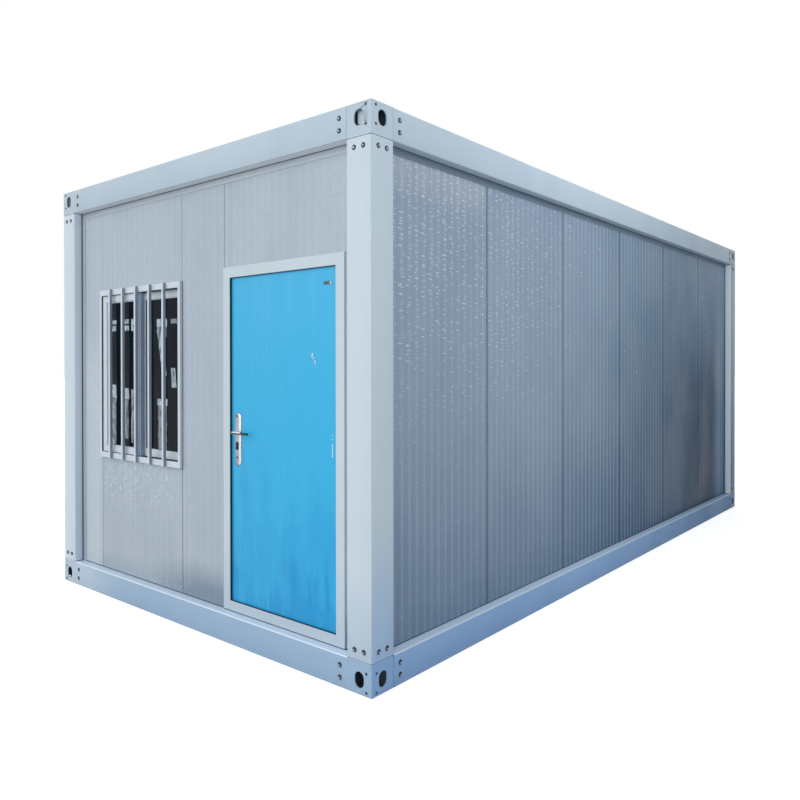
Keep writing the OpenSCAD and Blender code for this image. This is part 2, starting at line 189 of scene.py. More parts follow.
class Shaper:
    """Collects the solids of one piece in a bmesh."""

    # Distances that count as one place, angles of flat and of sharp edges, and steps of rounds.
    weld: float = 2e-5
    tip: float = 1e-6
    flat: float = math.radians(0.5)
    sharp: float = 1.0
    fold_steps: int = 3
    oval_steps: int = 14

    def __init__(self, source: Object | None = None) -> None:
        """Starts empty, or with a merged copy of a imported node's mesh.

        Args:
            source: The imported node.
        """
        self.bm = bmesh.new()
        if source is not None:
            self.bm.from_mesh(source.data)
            bmesh.ops.remove_doubles(self.bm, verts=self.bm.verts, dist=self.weld)
            parts = {"verts": self.bm.verts, "edges": self.bm.edges}
            bmesh.ops.dissolve_limit(self.bm, angle_limit=self.flat, **parts)

    def block(self, one: Point, other: Point, edging: Edging = PLAIN) -> None:
        """Adds a box.

        Args:
            one: A corner.
            other: The corner across.
            edging: Its bevels and finish.
        """
        low, high = Vector([*map(min, one, other)]), Vector([*map(max, one, other)])
        verts = bmesh.ops.create_cube(self.bm, size=1.0)["verts"]
        bmesh.ops.scale(self.bm, vec=high - low, verts=verts)
        bmesh.ops.translate(self.bm, vec=(low + high) / 2, verts=verts)
        self._close(verts, edging)

    def hoop(self, low: Point, high: Point, width: float, edging: Edging = PLAIN) -> None:
        """Adds four bars round the inside of an upright rectangle across X.

        Args:
            low: Lowest corner of the bars.
            high: Highest corner of the bars.
            width: Width of each bar.
            edging: Their bevels and finish.
        """
        (x0, y0, z0), (x1, y1, z1) = low, high
        for x in (x0, x1 - width):
            self.block((x, y0, z0), (x + width, y1, z1), edging)
        for z in (z0, z1 - width):
            self.block((x0 + width, y0, z), (x1 - width, y1, z + width), edging)

    def prism(self, outline: Iterable[Point], along: Point, edging: Edging = PLAIN) -> None:
        """Adds a solid by drawing a flat outline along a vector.

        Args:
            outline: Corners of the flat outline, in order.
            along: How far and in which direction it is drawn.
            edging: Its bevels and finish.
        """
        face = self.bm.faces.new([self.bm.verts.new(p) for p in outline])
        self.drawn([face], along, edging)

    def section(self, outline: Iterable[Point], folds: Iterable[int], radius: float) -> list[BMFace]:
        """Adds a flat outline whose folds are rounded.

        Args:
            outline: Corners of the outline, in order.
            folds: Indexes of the corners that are folds.
            radius: Radius of the folds.

        Returns:
            The flat face, in a list.
        """
        known = set(self.bm.faces)
        corners = [self.bm.verts.new(p) for p in outline]
        self.bm.faces.new(corners)
        self._bevel([corners[i] for i in folds], radius, self.fold_steps, "VERTICES")
        return [f for f in self.bm.faces if f not in known]

    def drawn(self, faces: Sequence[BMFace], along: Point, edging: Edging = PLAIN) -> None:
        """Draws flat faces along a vector into a solid.

        Args:
            faces: The flat faces.
            along: How far and in which direction they are drawn.
            edging: Its bevels and finish.
        """
        first = once(v for f in faces for v in f.verts)
        made = bmesh.ops.extrude_face_region(self.bm, geom=list(faces))["geom"]
        moved = [g for g in made if isinstance(g, BMVert)]
        bmesh.ops.translate(self.bm, vec=along, verts=moved)
        self._close([*first, *moved], edging)

    def tube(self, outlines: Sequence[Sequence[Point]], radius: float, along: Point) -> None:
        """Adds a hollow tube with open ends.

        Args:
            outlines: Corners of its outside and of its inside, in the same order.
            radius: Radius of its folds.
            along: How far and in which direction it is drawn.
        """
        rims: list[BMEdge] = []
        bends = radius, radius / 4
        for outline, bend in zip(outlines, bends):
            faces = self.section(outline, range(len(outline)), bend)
            rims += once(e for f in faces for e in f.edges)
            bmesh.ops.delete(self.bm, geom=faces, context="FACES_ONLY")
        self.drawn(bmesh.ops.bridge_loops(self.bm, edges=rims)["faces"], along)

    def turned(
        self, profile: Iterable[Span], base: Point, axis: Point, steps: int, finish: int = 0
    ) -> list[BMFace]:
        """Adds a solid of revolution.

        Args:
            profile: Radius and height of each point, from the rim at the base to the axis.
            base: Foot of the axis.
            axis: Direction of the axis.
            steps: Steps of the full turn.
            finish: Index of its finish.

        Returns:
            Its faces.
        """
        known = set(self.bm.verts)
        verts = [self.bm.verts.new((r, 0.0, h)) for r, h in profile]
        edges = [self.bm.edges.new(pair) for pair in zip(verts, verts[1:])]
        around = {"cent": (0, 0, 0), "axis": (0, 0, 1), "angle": math.tau, "steps": steps}
        bmesh.ops.spin(self.bm, geom=verts + edges, use_merge=True, use_duplicate=False, **around)
        made = [v for v in self.bm.verts if v not in known]
        bmesh.ops.remove_doubles(self.bm, verts=made, dist=self.tip)
        found = [v for v in self.bm.verts if v not in known]
        self._fill(found)
        turn = Vector((0, 0, 1)).rotation_difference(Vector(axis)).to_matrix().to_4x4()
        bmesh.ops.transform(self.bm, matrix=Matrix.Translation(base) @ turn, verts=found)
        return self._close(found, Edging(finish=finish))

    def swept(self, places: Iterable[Point], sizes: Sequence[Span]) -> None:
        """Adds a closed bar with an oval section that follows a path, never straight up.

        Args:
            places: Points along the middle of the bar.
            sizes: Half width and half height of the section at each point.
        """
        path = [Vector(place) for place in places]
        frames: list[Matrix] = []
        for i, (point, (half_w, half_h)) in enumerate(zip(path, sizes)):
            ahead = (path[min(i + 1, len(path) - 1)] - path[max(i - 1, 0)]).normalized()
            across = Vector((0, 0, 1)).cross(ahead).normalized()
            turn = Matrix((across * half_w, ahead.cross(across) * half_h, ahead)).transposed().to_4x4()
            frames.append(Matrix.Translation(point) @ turn)
        circle = {"segments": self.oval_steps, "radius": 1.0, "matrix": frames[0]}
        ring = bmesh.ops.create_circle(self.bm, **circle)["verts"]
        found = list(ring)
        edges = once(e for v in ring for e in v.link_edges)
        for last, this in zip(frames, frames[1:]):
            made = bmesh.ops.extrude_edge_only(self.bm, edges=edges)["geom"]
            ring = [g for g in made if isinstance(g, BMVert)]
            edges = [g for g in made if isinstance(g, BMEdge) and g.verts[0] in ring and g.verts[1] in ring]
            bmesh.ops.transform(self.bm, matrix=this @ last.inverted(), verts=ring)
            found += ring
        self._fill(found)
        self._close(found, PLAIN)

    def round_folds(
        self, width: float, segments: int = 2, narrowest: float = 8 * MM, shortest: float = 0.05
    ) -> None:
        """Rounds the folds of bent sheet: long outer edges between two wide faces.

        Args:
            width: Width of the rounding.
            segments: Its steps.
            narrowest: Faces narrower than this are cut ends of the sheet.
            shortest: Edges shorter than this stay as they are.
        """
        folds = []
        for edge in self.bm.edges:
            length = edge.calc_length()
            if length < shortest or len(edge.link_faces) != 2 or not edge.is_convex:
                continue
            wide = min(f.calc_area() for f in edge.link_faces) / length >= narrowest
            if wide and edge.calc_face_angle() >= self.sharp:
                folds.append(edge)
        self._bevel(folds, width, segments)

    def paint(self, choose: Callable[[BMFace], int]) -> None:
        """Gives every face its finish.

        Args:
            choose: Returns the index of a face's finish.
        """
        for face in self.bm.faces:
            face.normal_update()
            face.material_index = choose(face)

    def settle(
        self,
        name: str,
        looks: Iterable[Look],
        body: Body = Body.HOUSE,
        node: str = "",
        smooth: float = 0.0,
    ) -> None:
        """Makes the collected solids one piece and puts it on its body.

        Args:
            name: Name of the piece.
            looks: Its finishes, in the order of the finish indexes.
            body: The body it rides on.
            node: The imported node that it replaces.
            smooth: Edges under this angle in degrees are shaded smooth; 0 leaves all as they are.
        """
        mesh = bpy.data.meshes.new(name)
        self.bm.to_mesh(mesh)
        self.bm.free()
        for look in looks:
            mesh.materials.append(look.material)
        if smooth > 0:
            mesh.polygons.foreach_set("use_smooth", [True] * len(mesh.polygons))
            mesh.set_sharp_from_angle(angle=math.radians(smooth))
        piece = bpy.data.objects.new(name, mesh)
        bpy.context.scene.collection.objects.link(piece)
        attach(piece, body.value)
        if node:
            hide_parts(node)
        LOG.info("%s: %d faces, on %s", name, len(mesh.polygons), body.value)

    def _fill(self, verts: Sequence[BMVert]) -> None:
        """Closes the open rims of a new solid.

        Args:
            verts: Its corners.
        """
        rims = once(e for v in verts for e in v.link_edges if e.is_boundary)
        if rims:
            bmesh.ops.holes_fill(self.bm, edges=rims, sides=0)

    def _bevel(
        self, geom: Sequence[BMEdge | BMVert], width: float, segments: int, affect: str = "EDGES"
    ) -> None:
        """Bevels edges or corners with the editor's usual settings."""
        usual = {"offset_type": "OFFSET", "profile": 0.5, "material": -1, "clamp_overlap": affect == "EDGES"}
        bmesh.ops.bevel(self.bm, geom=geom, offset=width, segments=segments, affect=affect, **usual)

    def _close(self, verts: Iterable[BMVert], edging: Edging) -> list[BMFace]:
        """Turns a new solid's faces outwards, gives them their finish and bevels its edges.

        Args:
            verts: Its vertices.
            edging: Its bevels and finish.

        Returns:
            Its faces, which a bevel replaces.
        """
        verts = [v for v in verts if v.is_valid]
        faces = once(f for v in verts for f in v.link_faces)
        bmesh.ops.recalc_face_normals(self.bm, faces=faces)
        for face in faces:
            face.material_index = edging.finish
        if edging.bevel > 0:
            self._bevel(once(e for v in verts for e in v.link_edges), edging.bevel, edging.segments)
        return faces


def dress(shown: Object, look: Look) -> None:
    """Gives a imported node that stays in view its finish.

    Args:
        shown: The node's object.
        look: Its finish.
    """
    shown.data.materials.clear()
    shown.data.materials.append(look.material)
    LOG.info("%s: packed node with %s", shown.name, look.material.name)


# ---- Shader building ----


class Nodes:
    """Adds and links nodes in one shader tree."""

    def __init__(self, tree: NodeTree) -> None:
        """Starts with the material's or the group's node tree."""
        self.tree = tree

    @cached_property
    def at(self) -> NodeSocket:
        """The position on the piece in the house's own frame."""
        return self.add("TexCoord").outputs["Object"]

    def add(self, kind: str, *values: object, **settings: object) -> Node:
        """Adds a node.

        Args:
            kind: Class name of the node, without ShaderNode.
            values: What its first inputs take, sockets or values; None leaves one as it is.
            settings: Attributes to set on it.

        Returns:
            The node.
        """
        node = self.tree.nodes.new(f"ShaderNode{kind}")
        for name, value in settings.items():
            setattr(node, name, value)
        for socket, value in zip(node.inputs, values):
            self.put(socket, value)
        return node

    def put(self, socket: NodeSocket, value: object) -> None:
        """Links or sets an input socket.

        Args:
            socket: The input.
            value: A socket to link, or a constant; None leaves the input as it is.
        """
        if isinstance(value, NodeSocket):
            self.tree.links.new(value, socket)
        elif value is not None:
            socket.default_value = value

    def math(self, operation: str, *values: object, clamp: bool = False) -> NodeSocket:
        """The result of a Math node; clamp keeps it from 0 to 1."""
        return self.add("Math", *values, operation=operation, use_clamp=clamp).outputs[0]

    times = partialmethod(math, "MULTIPLY")
    plus = partialmethod(math, "ADD")
    less = partialmethod(math, "SUBTRACT")
    over = partialmethod(math, "DIVIDE")
    scaled = partialmethod(math, "MULTIPLY_ADD")
    most = partialmethod(math, "MAXIMUM")

    def span(self, value: object, low: object, high: object, start: float = 0, end: float = 1) -> NodeSocket:
        """Maps a value smoothly from the range low to high to the range start to end."""
        return self.add("MapRange", value, low, high, start, end, interpolation_type="SMOOTHSTEP").outputs[0]

    def mix(self, share: object, first: object, second: object, blend: str = "MIX") -> NodeSocket:
        """Mixes a share of the second colour into the first."""
        inputs = (share, *[None] * 5, first, second)
        return self.add("Mix", *inputs, data_type="RGBA", blend_type=blend, clamp_factor=True).outputs[2]

    def tinted(self, colour: object, red: float, green: float, blue: float) -> NodeSocket:
        """Multiplies a colour."""
        return self.mix(1.0, colour, (red, green, blue, 1.0), "MULTIPLY")

    def noise(self, vector: object, scale: object, detail: float = 3.0, rough: float = 0.5) -> NodeSocket:
        """The value of a Noise Texture, 0 to 1."""
        return self.add("TexNoise", vector, None, scale, detail, rough).outputs[0]

    def stretch(self, vector: object, x: float, y: float, z: float) -> NodeSocket:
        """Scales a position by a factor along each axis."""
        return self.add("Mapping", vector, None, None, (x, y, z)).outputs[0]

    def drawn_out(self, z: float, scale: float, detail: float = 2.0, rough: float = 0.6) -> NodeSocket:
        """Noise on the piece that is drawn out upwards; z is its scale along that axis."""
        return self.noise(self.stretch(self.at, 1.0, 1.0, z), scale, detail, rough)

    def split(self, vector: object) -> tuple[NodeSocket, ...]:
        """Splits a position into its three parts."""
        return tuple(self.add("SeparateXYZ", vector).outputs)

    def group(self, tree: NodeTree, **values: object) -> NodeSocket:
        """Places a node group, on the piece's own position unless another is given.

        Args:
            tree: The group.
            values: Its inputs by name.

        Returns:
            Its first output.
        """
        node = self.add("Group", node_tree=tree)
        if "Position" in node.inputs:
            values.setdefault("Position", self.at)
        for name, value in values.items():
            self.put(node.inputs[name], value)
        return node.outputs[0]

    def bump(self, height: object, strength: float, distance: float) -> NodeSocket:
        """The normal that a height bends; distance is what a height of 1 stands for.

        Args:
            height: The height.
            strength: Strength of the bend.
            distance: Metres that a height of 1 stands for.

        Returns:
            The normal.
        """
        node = self.add("Bump", strength, distance)
        self.put(node.inputs["Height"], height)
        return node.outputs[0]


def new_group(name: str, inputs: str, outputs: str) -> tuple[NodeTree, Nodes, Sockets, Sockets]:
    """Makes an empty shader node group.

    Args:
        name: Its name.
        inputs: Names of its inputs, with spaces between.
        outputs: Names of its outputs, in the same way.

    Returns:
        The group, the helper for it, what comes in and where the results go.
    """
    kinds = {"Position": "Vector", "Color": "Color", "Ground": "Color"}
    tree = bpy.data.node_groups.new(name, "ShaderNodeTree")
    labels = inputs.split(), outputs.split()
    for words, side in zip(labels, ("INPUT", "OUTPUT")):
        for word in words:
            kind = f"NodeSocket{kinds.get(word, 'Float')}"
            tree.interface.new_socket(name=word, in_out=side, socket_type=kind)
    enter, leave = (tree.nodes.new(f"NodeGroup{end}") for end in ("Input", "Output"))
    return tree, Nodes(tree), enter.outputs[: len(labels[0])], leave.inputs[: len(labels[1])]


class Effects:
    """The shader groups that several finishes share, each built when it is first used."""

    @cached_property
    def streaks(self) -> NodeTree:
        """Rain marks: thin stains that run down from above.

        Returns:
            Group with inputs Position and Threshold and output Mask.
        """
        tree, n, (at, threshold), (mask,) = new_group("rain_streaks", "Position Threshold", "Mask")
        thin = n.noise(n.stretch(at, 1.0, 1.0, 0.03), 42.0, 2.0, 0.6)
        broken = n.noise(n.stretch(at, 1.0, 1.0, 0.25), 7.0, 3.0, 0.55)
        both = n.scaled(thin, 0.65, n.times(broken, 0.35))
        n.put(mask, n.span(both, threshold, n.plus(threshold, 0.16)))
        return tree

    @cached_property
    def cloud(self) -> NodeTree:
        """Broad uneven tone of weathered paint.

        Returns:
            Group with inputs Position and Size and output Tone, about 0 to 1.
        """
        tree, n, (at, size), (shade,) = new_group("paint_cloud", "Position Size", "Tone")
        broad = n.noise(n.stretch(at, 1.0, 1.0, 0.55), n.over(1.0, size), 4.0, 0.58)
        n.put(shade, n.span(broad, 0.3, 0.7))
        return tree

    @cached_property
    def skin(self) -> NodeTree:
        """Fine orange peel of sprayed paint.

        Returns:
            Group with inputs Position and Grain and output Height.
        """
        tree, n, (at, grain), (height,) = new_group("paint_skin", "Position Grain", "Height")
        fine = n.noise(at, n.over(1.0, grain), 1.0)
        n.put(height, n.scaled(n.noise(at, 9.0, 1.0), 1.6, fine))
        return tree

    @cached_property
    def ground_shade(self) -> NodeTree:
        """Painted shade: colour that turns to a darker one towards the ground.

        Returns:
            Group with inputs Position, Color, Ground (the other colour), Low and High, the
            heights where it is reached and left, and output Color.
        """
        inputs = "Position Color Ground Low High"
        tree, n, (at, colour, ground, low, high), (result,) = new_group("painted_ground_shade", inputs, "Color")
        uneven = n.scaled(n.noise(at, 3.0, 2.0), 0.12, n.split(at)[2])
        n.put(result, n.mix(n.span(uneven, low, high), ground, colour))
        return tree

    @cached_property
    def ribs(self) -> NodeTree:
        """Place of the ribs along a wall of equal panels.

        Returns:
            Group with inputs Run, Module, Offset and Pitch and outputs Away, from -0.5 to 0.5
            with 0 on a rib's middle, and Index, the number of the rib.
        """
        sockets = "Run Module Offset Pitch", "Away Index"
        tree, n, (run, module, offset, pitch), (away, index) = new_group("rib_places", *sockets)
        start = n.plus(n.plus(run, offset), n.times(module, 10.0))
        local = n.less(n.math("MODULO", start, module), n.over(module, 2.0))
        steps = n.plus(n.over(local, pitch), 200.5)
        n.put(away, n.less(n.math("FRACT", steps), 0.5))
        n.put(index, n.scaled(n.math("FLOOR", n.over(start, module)), 31.0, n.math("FLOOR", steps)))
        return tree

    @cached_property
    def flecks(self) -> NodeTree:
        """Short level dents that the rolls press into the ribs, one at most in each row.

        Returns:
            Group with inputs Away and Up in metres, Index of the rib, Row, the height of a row,
            and Density, the share of rows with a dent, and output Mask.
        """
        inputs = "Away Up Index Row Density"
        tree, n, (away, up, index, row, density), (mask,) = new_group("rolled_flecks", inputs, "Mask")
        shift, play, tilt = 0.37, 34 * MM, 0.35
        shortest, longer, half_tall = 7 * MM, 11 * MM, 2.8 * MM
        rows = n.scaled(index, shift, n.over(up, row))
        cell = n.add("CombineXYZ", index, n.math("FLOOR", rows)).outputs[0]
        chance = n.add("TexWhiteNoise", cell, noise_dimensions="2D")
        first, second, third = n.add("SeparateColor", chance.outputs["Color"]).outputs
        rise = n.times(n.less(n.math("FRACT", rows), n.scaled(first, 0.6, 0.2)), row)
        side = n.scaled(n.less(second, 0.5), play, away)
        rise = n.scaled(side, n.times(n.less(third, 0.6), tilt), rise)
        long = n.math("POWER", n.over(side, n.scaled(third, longer, shortest)), 2.0)
        tall = n.math("POWER", n.over(rise, half_tall), 2.0)
        spot = n.span(n.plus(long, tall), 1.3, 0.5)
        shown = n.math("LESS_THAN", chance.outputs["Value"], density)
        n.put(mask, n.times(n.times(spot, shown), n.scaled(second, 0.6, 0.4)))
        return tree

    @cached_property
    def back_shade(self) -> NodeTree:
        """Painted shade that darkens and blues a surface towards the back, more so below head height, with a
        lighter strip at the very back end.

        Returns:
            Group with inputs Run, Up and Far, what stays at the back, and output Color, 1 where nothing is
            shaded.
        """
        tree, n, (run, up, far), (result,) = new_group("painted_back_shade", "Run Up Far", "Color")
        # Painted shade: darker towards the back and below head height, lighter on the last strip before the
        # back column.
        dulled, lit_back_end = n.span(run, -1.5, 1.7), n.span(run, 2.35, 2.62)
        low_corner = n.times(n.span(up, 1.9, 0.9), n.span(run, 1.2, 2.1, 0.02, 0.24))
        below_head = n.plus(n.span(up, 2.7, 1.3, 0.4, 1.0), low_corner)
        share = n.times(n.scaled(lit_back_end, -0.55, dulled), below_head)
        grey = n.less(1.0, n.times(share, n.less(1.0, far)))
        less_red, more_blue = 1.35, 0.8
        parts = n.math("POWER", grey, less_red), grey, n.math("POWER", grey, more_blue)
        n.put(result, n.add("CombineColor", *parts).outputs[0])
        return tree

    @cached_property
    def foot_grime(self) -> NodeTree:
        """Splashed dirt along the foot of a wall.

        Returns:
            Group with inputs Position and Height and output Mask.
        """
        tree, n, (at, height), (mask,) = new_group("foot_grime", "Position Height", "Mask")
        fine = n.noise(n.stretch(at, 1.0, 1.0, 1.8), 38.0, 2.0, 0.6)
        reach = n.times(height, n.scaled(n.noise(at, 1.6, 2.0), 2.4, -0.35))
        wall_foot = 160 * MM
        soft = n.less(1.0, n.over(n.less(n.split(at)[2], wall_foot), reach), clamp=True)
        n.put(mask, n.times(soft, n.span(fine, 0.35, 0.6, 0.55, 1.0)))
        return tree

    @cached_property
    def patch(self) -> NodeTree:
        """One upright pale patch with worn edges on a sheet that faces the front.

        Returns:
            Group with inputs Position, Across, Up, Width, Height and Lean and output Mask.
        """
        inputs = "Position Across Up Width Height Lean"
        tree, n, (at, across, up, width, height, lean), (mask,) = new_group("pale_patch", inputs, "Mask")
        x, _, z = n.split(at)
        rise = n.less(z, up)
        worn = n.scaled(n.noise(n.stretch(at, 1.0, 1.0, 0.5), 26.0, 3.0, 0.6), 0.03, -0.015)
        side = n.less(n.less(x, across), n.times(rise, lean))
        for_x = n.less(n.times(width, 0.5), n.math("ABSOLUTE", n.plus(side, worn)))
        for_z = n.less(n.times(height, 0.5), n.math("ABSOLUTE", rise))
        n.put(mask, n.times(n.span(for_x, 0.0, 0.006), n.span(for_z, 0.0, 0.008)))
        return tree

    @cached_property
    def flakes(self) -> NodeTree:
        """Spangle of zinc or strokes of brushed steel.

        Returns:
            Group with inputs Position and Scale and output Value.
        """
        tree, n, (at, scale), (value,) = new_group("metal_flakes", "Position Scale", "Value")
        n.put(value, n.noise(at, scale, 3.0, 0.6))
        return tree

    @cached_property
    def joints(self) -> NodeTree:
        """Joints between boards of one width.

        Returns:
            Group with inputs Run and Width and output Mask.
        """
        tree, n, (run, width), (mask,) = new_group("board_joints", "Run Width", "Mask")
        part = n.math("FRACT", n.plus(n.over(run, width), 10.0))
        n.put(mask, n.span(n.math("ABSOLUTE", n.less(part, 0.5)), 0.004, 0.002))
        return tree


EFFECTS = Effects()


# ---- Finishes ----


@dataclass(frozen=True)
class Finish:
    """What every finish has: its name, its main colour and the way it becomes a material."""

    name: str
    colour: int

    def make(self) -> Material:
        """Builds the material.

        Returns:
            The material.
        """
        material = bpy.data.materials.new(self.name)
        material.use_nodes = True
        n = Nodes(material.node_tree)
        shader = material.node_tree.nodes["Principled BSDF"]
        for name, value in self._sockets(n).items():
            n.put(shader.inputs[name], value)
        return material

    def _sockets(self, n: Nodes) -> dict[str, object]:
        """The plain finish, which the other ones replace by their own."""
        return {"Base Color": tone(self.colour)}


@dataclass(frozen=True)
class FramePaint(Finish):
    """Pale semi-gloss paint of the steel frame with rain streaks, and painted shade: bluer and darker towards
    the ground, and towards the back where far is under 1.
    """

    low_colour: int
    low: float = 0.10
    high: float = 1.0
    # Share of the colour that the painted shade keeps at the back; 1 leaves it out.
    far: float = 1.0
    sheen: float = 0.42
    dirt: float = 0.10
    # Share and colour of a lighter left end.
    left_share: float = 0.0
    left_colour: int = 0xC0CED8
    gloss: float = 0.2
    cloud_tint: Point = (0.82, 0.85, 0.88)
    streak_tint: Point = (0.72, 0.72, 0.70)
    peel: float = 0.2 * MM

    def _sockets(self, n: Nodes) -> dict[str, object]:
        """Lays cloud, streaks, painted shade towards the ground and the back, and a lighter left end over the
        paint.

        Args:
            n: Helper for the material's tree.

        Returns:
            What the shader's sockets take.
        """
        colours = {"Color": tone(self.colour), "Ground": tone(self.low_colour)}
        # Painted shade towards the ground.
        tinted = n.group(EFFECTS.ground_shade, **colours, Low=self.low, High=self.high)
        cloud = n.group(EFFECTS.cloud, Size=0.35)
        uneven = n.mix(n.times(cloud, 0.16), tinted, n.tinted(tinted, *self.cloud_tint))
        streak = n.group(EFFECTS.streaks, Threshold=0.55)
        worn = n.mix(n.times(streak, self.dirt), uneven, n.tinted(uneven, *self.streak_tint))
        across, run, up = n.split(n.at)
        if self.far < 1.0:
            # Painted shade towards the back and below head height.
            dust = n.group(EFFECTS.back_shade, Run=n.less(run, 0.6), Up=up, Far=self.far)
            worn = n.mix(1.0, worn, dust, "MULTIPLY")
        if self.left_share > 0.0:
            worn = n.mix(n.times(n.span(across, -0.7, -1.3), self.left_share), worn, tone(self.left_colour))
        return {
            "Base Color": worn,
            "Roughness": n.span(cloud, 0.0, 1.0, self.sheen - 0.05, self.sheen + 0.08),
            "Normal": n.bump(n.group(EFFECTS.skin, Grain=SKIN_GRAIN), 0.25, self.peel),
            "Specular IOR Level": self.gloss,
        }


@dataclass(frozen=True)
class PanelPaint(Finish):
    """Painted steel skin of a ribbed sandwich panel with its rolled dents and dirt, and painted light: shade
    towards the ground and the back, highlights on the rib crests, shade in the valleys, and glints on the
    dents and below the window sill.
    """

    low_colour: int
    along: int
    module: float
    offset: float
    pitch: float = RIB_PITCH
    # Share of the colour that the painted shade keeps at the back; under 1 it also makes the ribs' painted
    # light grow.
    far: float = 1.0
    # Strengths of the painted highlight on the rib crests and of the painted shade in their valleys.
    crest: float = 0.3
    valley_shade: float = 0.25
    glints: float = 0.0
    grime: float = 0.3
    haze: float = 0.0
    low_right_darkening: float = 0.0
    shimmer: float = 0.0
    stucco: float = 0.5
    sheen: float = 0.45
    gloss: float = 0.1
    relief: float = 0.8 * MM
    dent_relief: float = 1.2
    cloud_tint: Point = (0.5, 0.53, 0.58)
    valley_shade_tint: Point = (0.62, 0.68, 0.74)
    crest_highlight_tint: Point = (1.5, 1.45, 1.4)
    grain_tint: Point = (1.4, 1.4, 1.4)
    dirt_tint: Point = (0.5, 0.56, 0.64)
    # Colour of the painted glints on the dents.
    dent_glint_colour: int = 0xEEEFEE
    haze_colour: int = 0xBEC5CC
    shimmer_colour: int = 0xD2DDE5

    def _sockets(self, n: Nodes) -> dict[str, object]:
        """Lays cloud, painted shade towards the ground and the back, dirt, the ribs' painted highlight and
        shade, grain, and the dents with their painted glints over the paint.

        Args:
            n: Helper for the material's tree.

        Returns:
            What the shader's sockets take.
        """
        parts = n.split(n.at)
        run, up = parts[self.along], parts[2]
        colours = {"Color": tone(self.colour), "Ground": tone(self.low_colour)}
        # Painted shade towards the ground.
        base = n.group(EFFECTS.ground_shade, **colours, Low=0.12, High=1.5)
        cloud = n.group(EFFECTS.cloud, Size=0.5)
        base = n.mix(n.times(cloud, 0.12), base, n.tinted(base, *self.cloud_tint))
        rib_light_growth: object = 1.0
        if self.far < 1.0:
            # Painted shade towards the back and below head height; the ribs' painted light grows towards the
            # back and the ground.
            base = n.mix(1.0, base, n.group(EFFECTS.back_shade, Run=run, Up=up, Far=self.far), "MULTIPLY")
            rib_light_growth = n.times(n.span(run, -1.9, 0.6, 1.0, 4.2), n.span(up, 1.5, 0.6, 1.0, 1.9))
        base = self._dirt_and_glints(n, run, up, base)
        places = {"Run": run, "Module": self.module, "Offset": self.offset, "Pitch": self.pitch}
        ribs = n.group(EFFECTS.ribs, **places).node.outputs
        away = n.math("ABSOLUTE", ribs[0])
        # Painted shade in the rib valleys and painted highlight on the crests, stronger towards the back and
        # the ground.
        valley_shade = n.times(n.span(away, 0.14, 0.26), n.times(rib_light_growth, self.valley_shade))
        base = n.mix(valley_shade, base, n.tinted(base, *self.valley_shade_tint))
        pale = n.times(n.span(away, 0.16, 0.06), n.times(rib_light_growth, self.crest))
        base = n.mix(pale, base, n.tinted(base, *self.crest_highlight_tint))
        grain = n.drawn_out(1.6, 90.0)
        base = n.mix(n.times(n.span(grain, 0.5, 0.72), 0.3), base, n.tinted(base, *self.grain_tint))
        height = grain
        if self.glints > 0.0:
            # Painted glints: the dents are coloured pale, more so higher up.
            dents = self._dents(n, ribs, run, up)
            shown = n.times(n.span(up, 0.9, 2.0, 0.34, 1.0), self.glints)
            base = n.mix(n.times(dents, shown), base, tone(self.dent_glint_colour))
            height = n.scaled(dents, self.dent_relief, grain)
        return {
            "Base Color": base,
            "Roughness": n.span(cloud, 0.0, 1.0, self.sheen - 0.06, self.sheen + 0.1),
            "Normal": n.bump(height, self.stucco, self.relief),
            "Specular IOR Level": self.gloss,
        }

    def _dirt_and_glints(self, n: Nodes, run: NodeSocket, up: NodeSocket, base: NodeSocket) -> NodeSocket:
        """Lays streaks, splashes, a pale haze high at the front, a darker low right corner and painted glints
        below the window sill over the paint.

        Args:
            n: Helper for the material's tree.
            run: Position along the wall.
            up: Height above the ground.
            base: The paint's colour.

        Returns:
            The colour with its dirt and painted glints.
        """
        streak = n.group(EFFECTS.streaks, Threshold=0.5)
        share = n.scaled(n.group(EFFECTS.foot_grime, Height=0.22), self.grime, n.times(streak, 0.1))
        if self.low_right_darkening > 0.0:
            # Darker towards the low right of the front wall.
            low_right = n.times(n.span(run, -0.5, 0.2), n.span(up, 0.44, 0.2))
            share = n.scaled(low_right, self.low_right_darkening, share)
        base = n.mix(n.math("MINIMUM", share, 1.0), base, n.tinted(base, *self.dirt_tint))
        if self.haze > 0.0:
            runs = n.group(EFFECTS.streaks, Position=n.stretch(n.at, 1.0, 1.0, 1.6), Threshold=0.34)
            high_front = n.times(n.span(run, -1.8, -2.0), n.span(up, 2.36, 2.56))
            share = n.times(high_front, n.scaled(runs, 0.7, 0.3))
            base = n.mix(n.times(share, self.haze), base, tone(self.haze_colour))
        # Painted glints: pale flecks below the window sill and beside its left side.
        if self.shimmer > 0.0:
            fine = n.span(n.drawn_out(0.55, 76.0), 0.56, 0.66, 0.0, 0.8)
            sill_band = n.times(n.span(up, 0.45, 0.78), n.span(up, 1.0, 0.9))
            sill_width = n.times(n.span(run, -1.06, -1.0), n.span(run, -0.1, -0.35))
            edge = n.times(n.span(run, -1.04, -1.12), n.span(up, 1.9, 1.4, 0.2, 1.0))
            below = n.times(n.times(sill_band, sill_width), fine)
            share = n.most(below, n.times(edge, 0.5))
            base = n.mix(n.times(share, self.shimmer), base, tone(self.shimmer_colour))
        return base

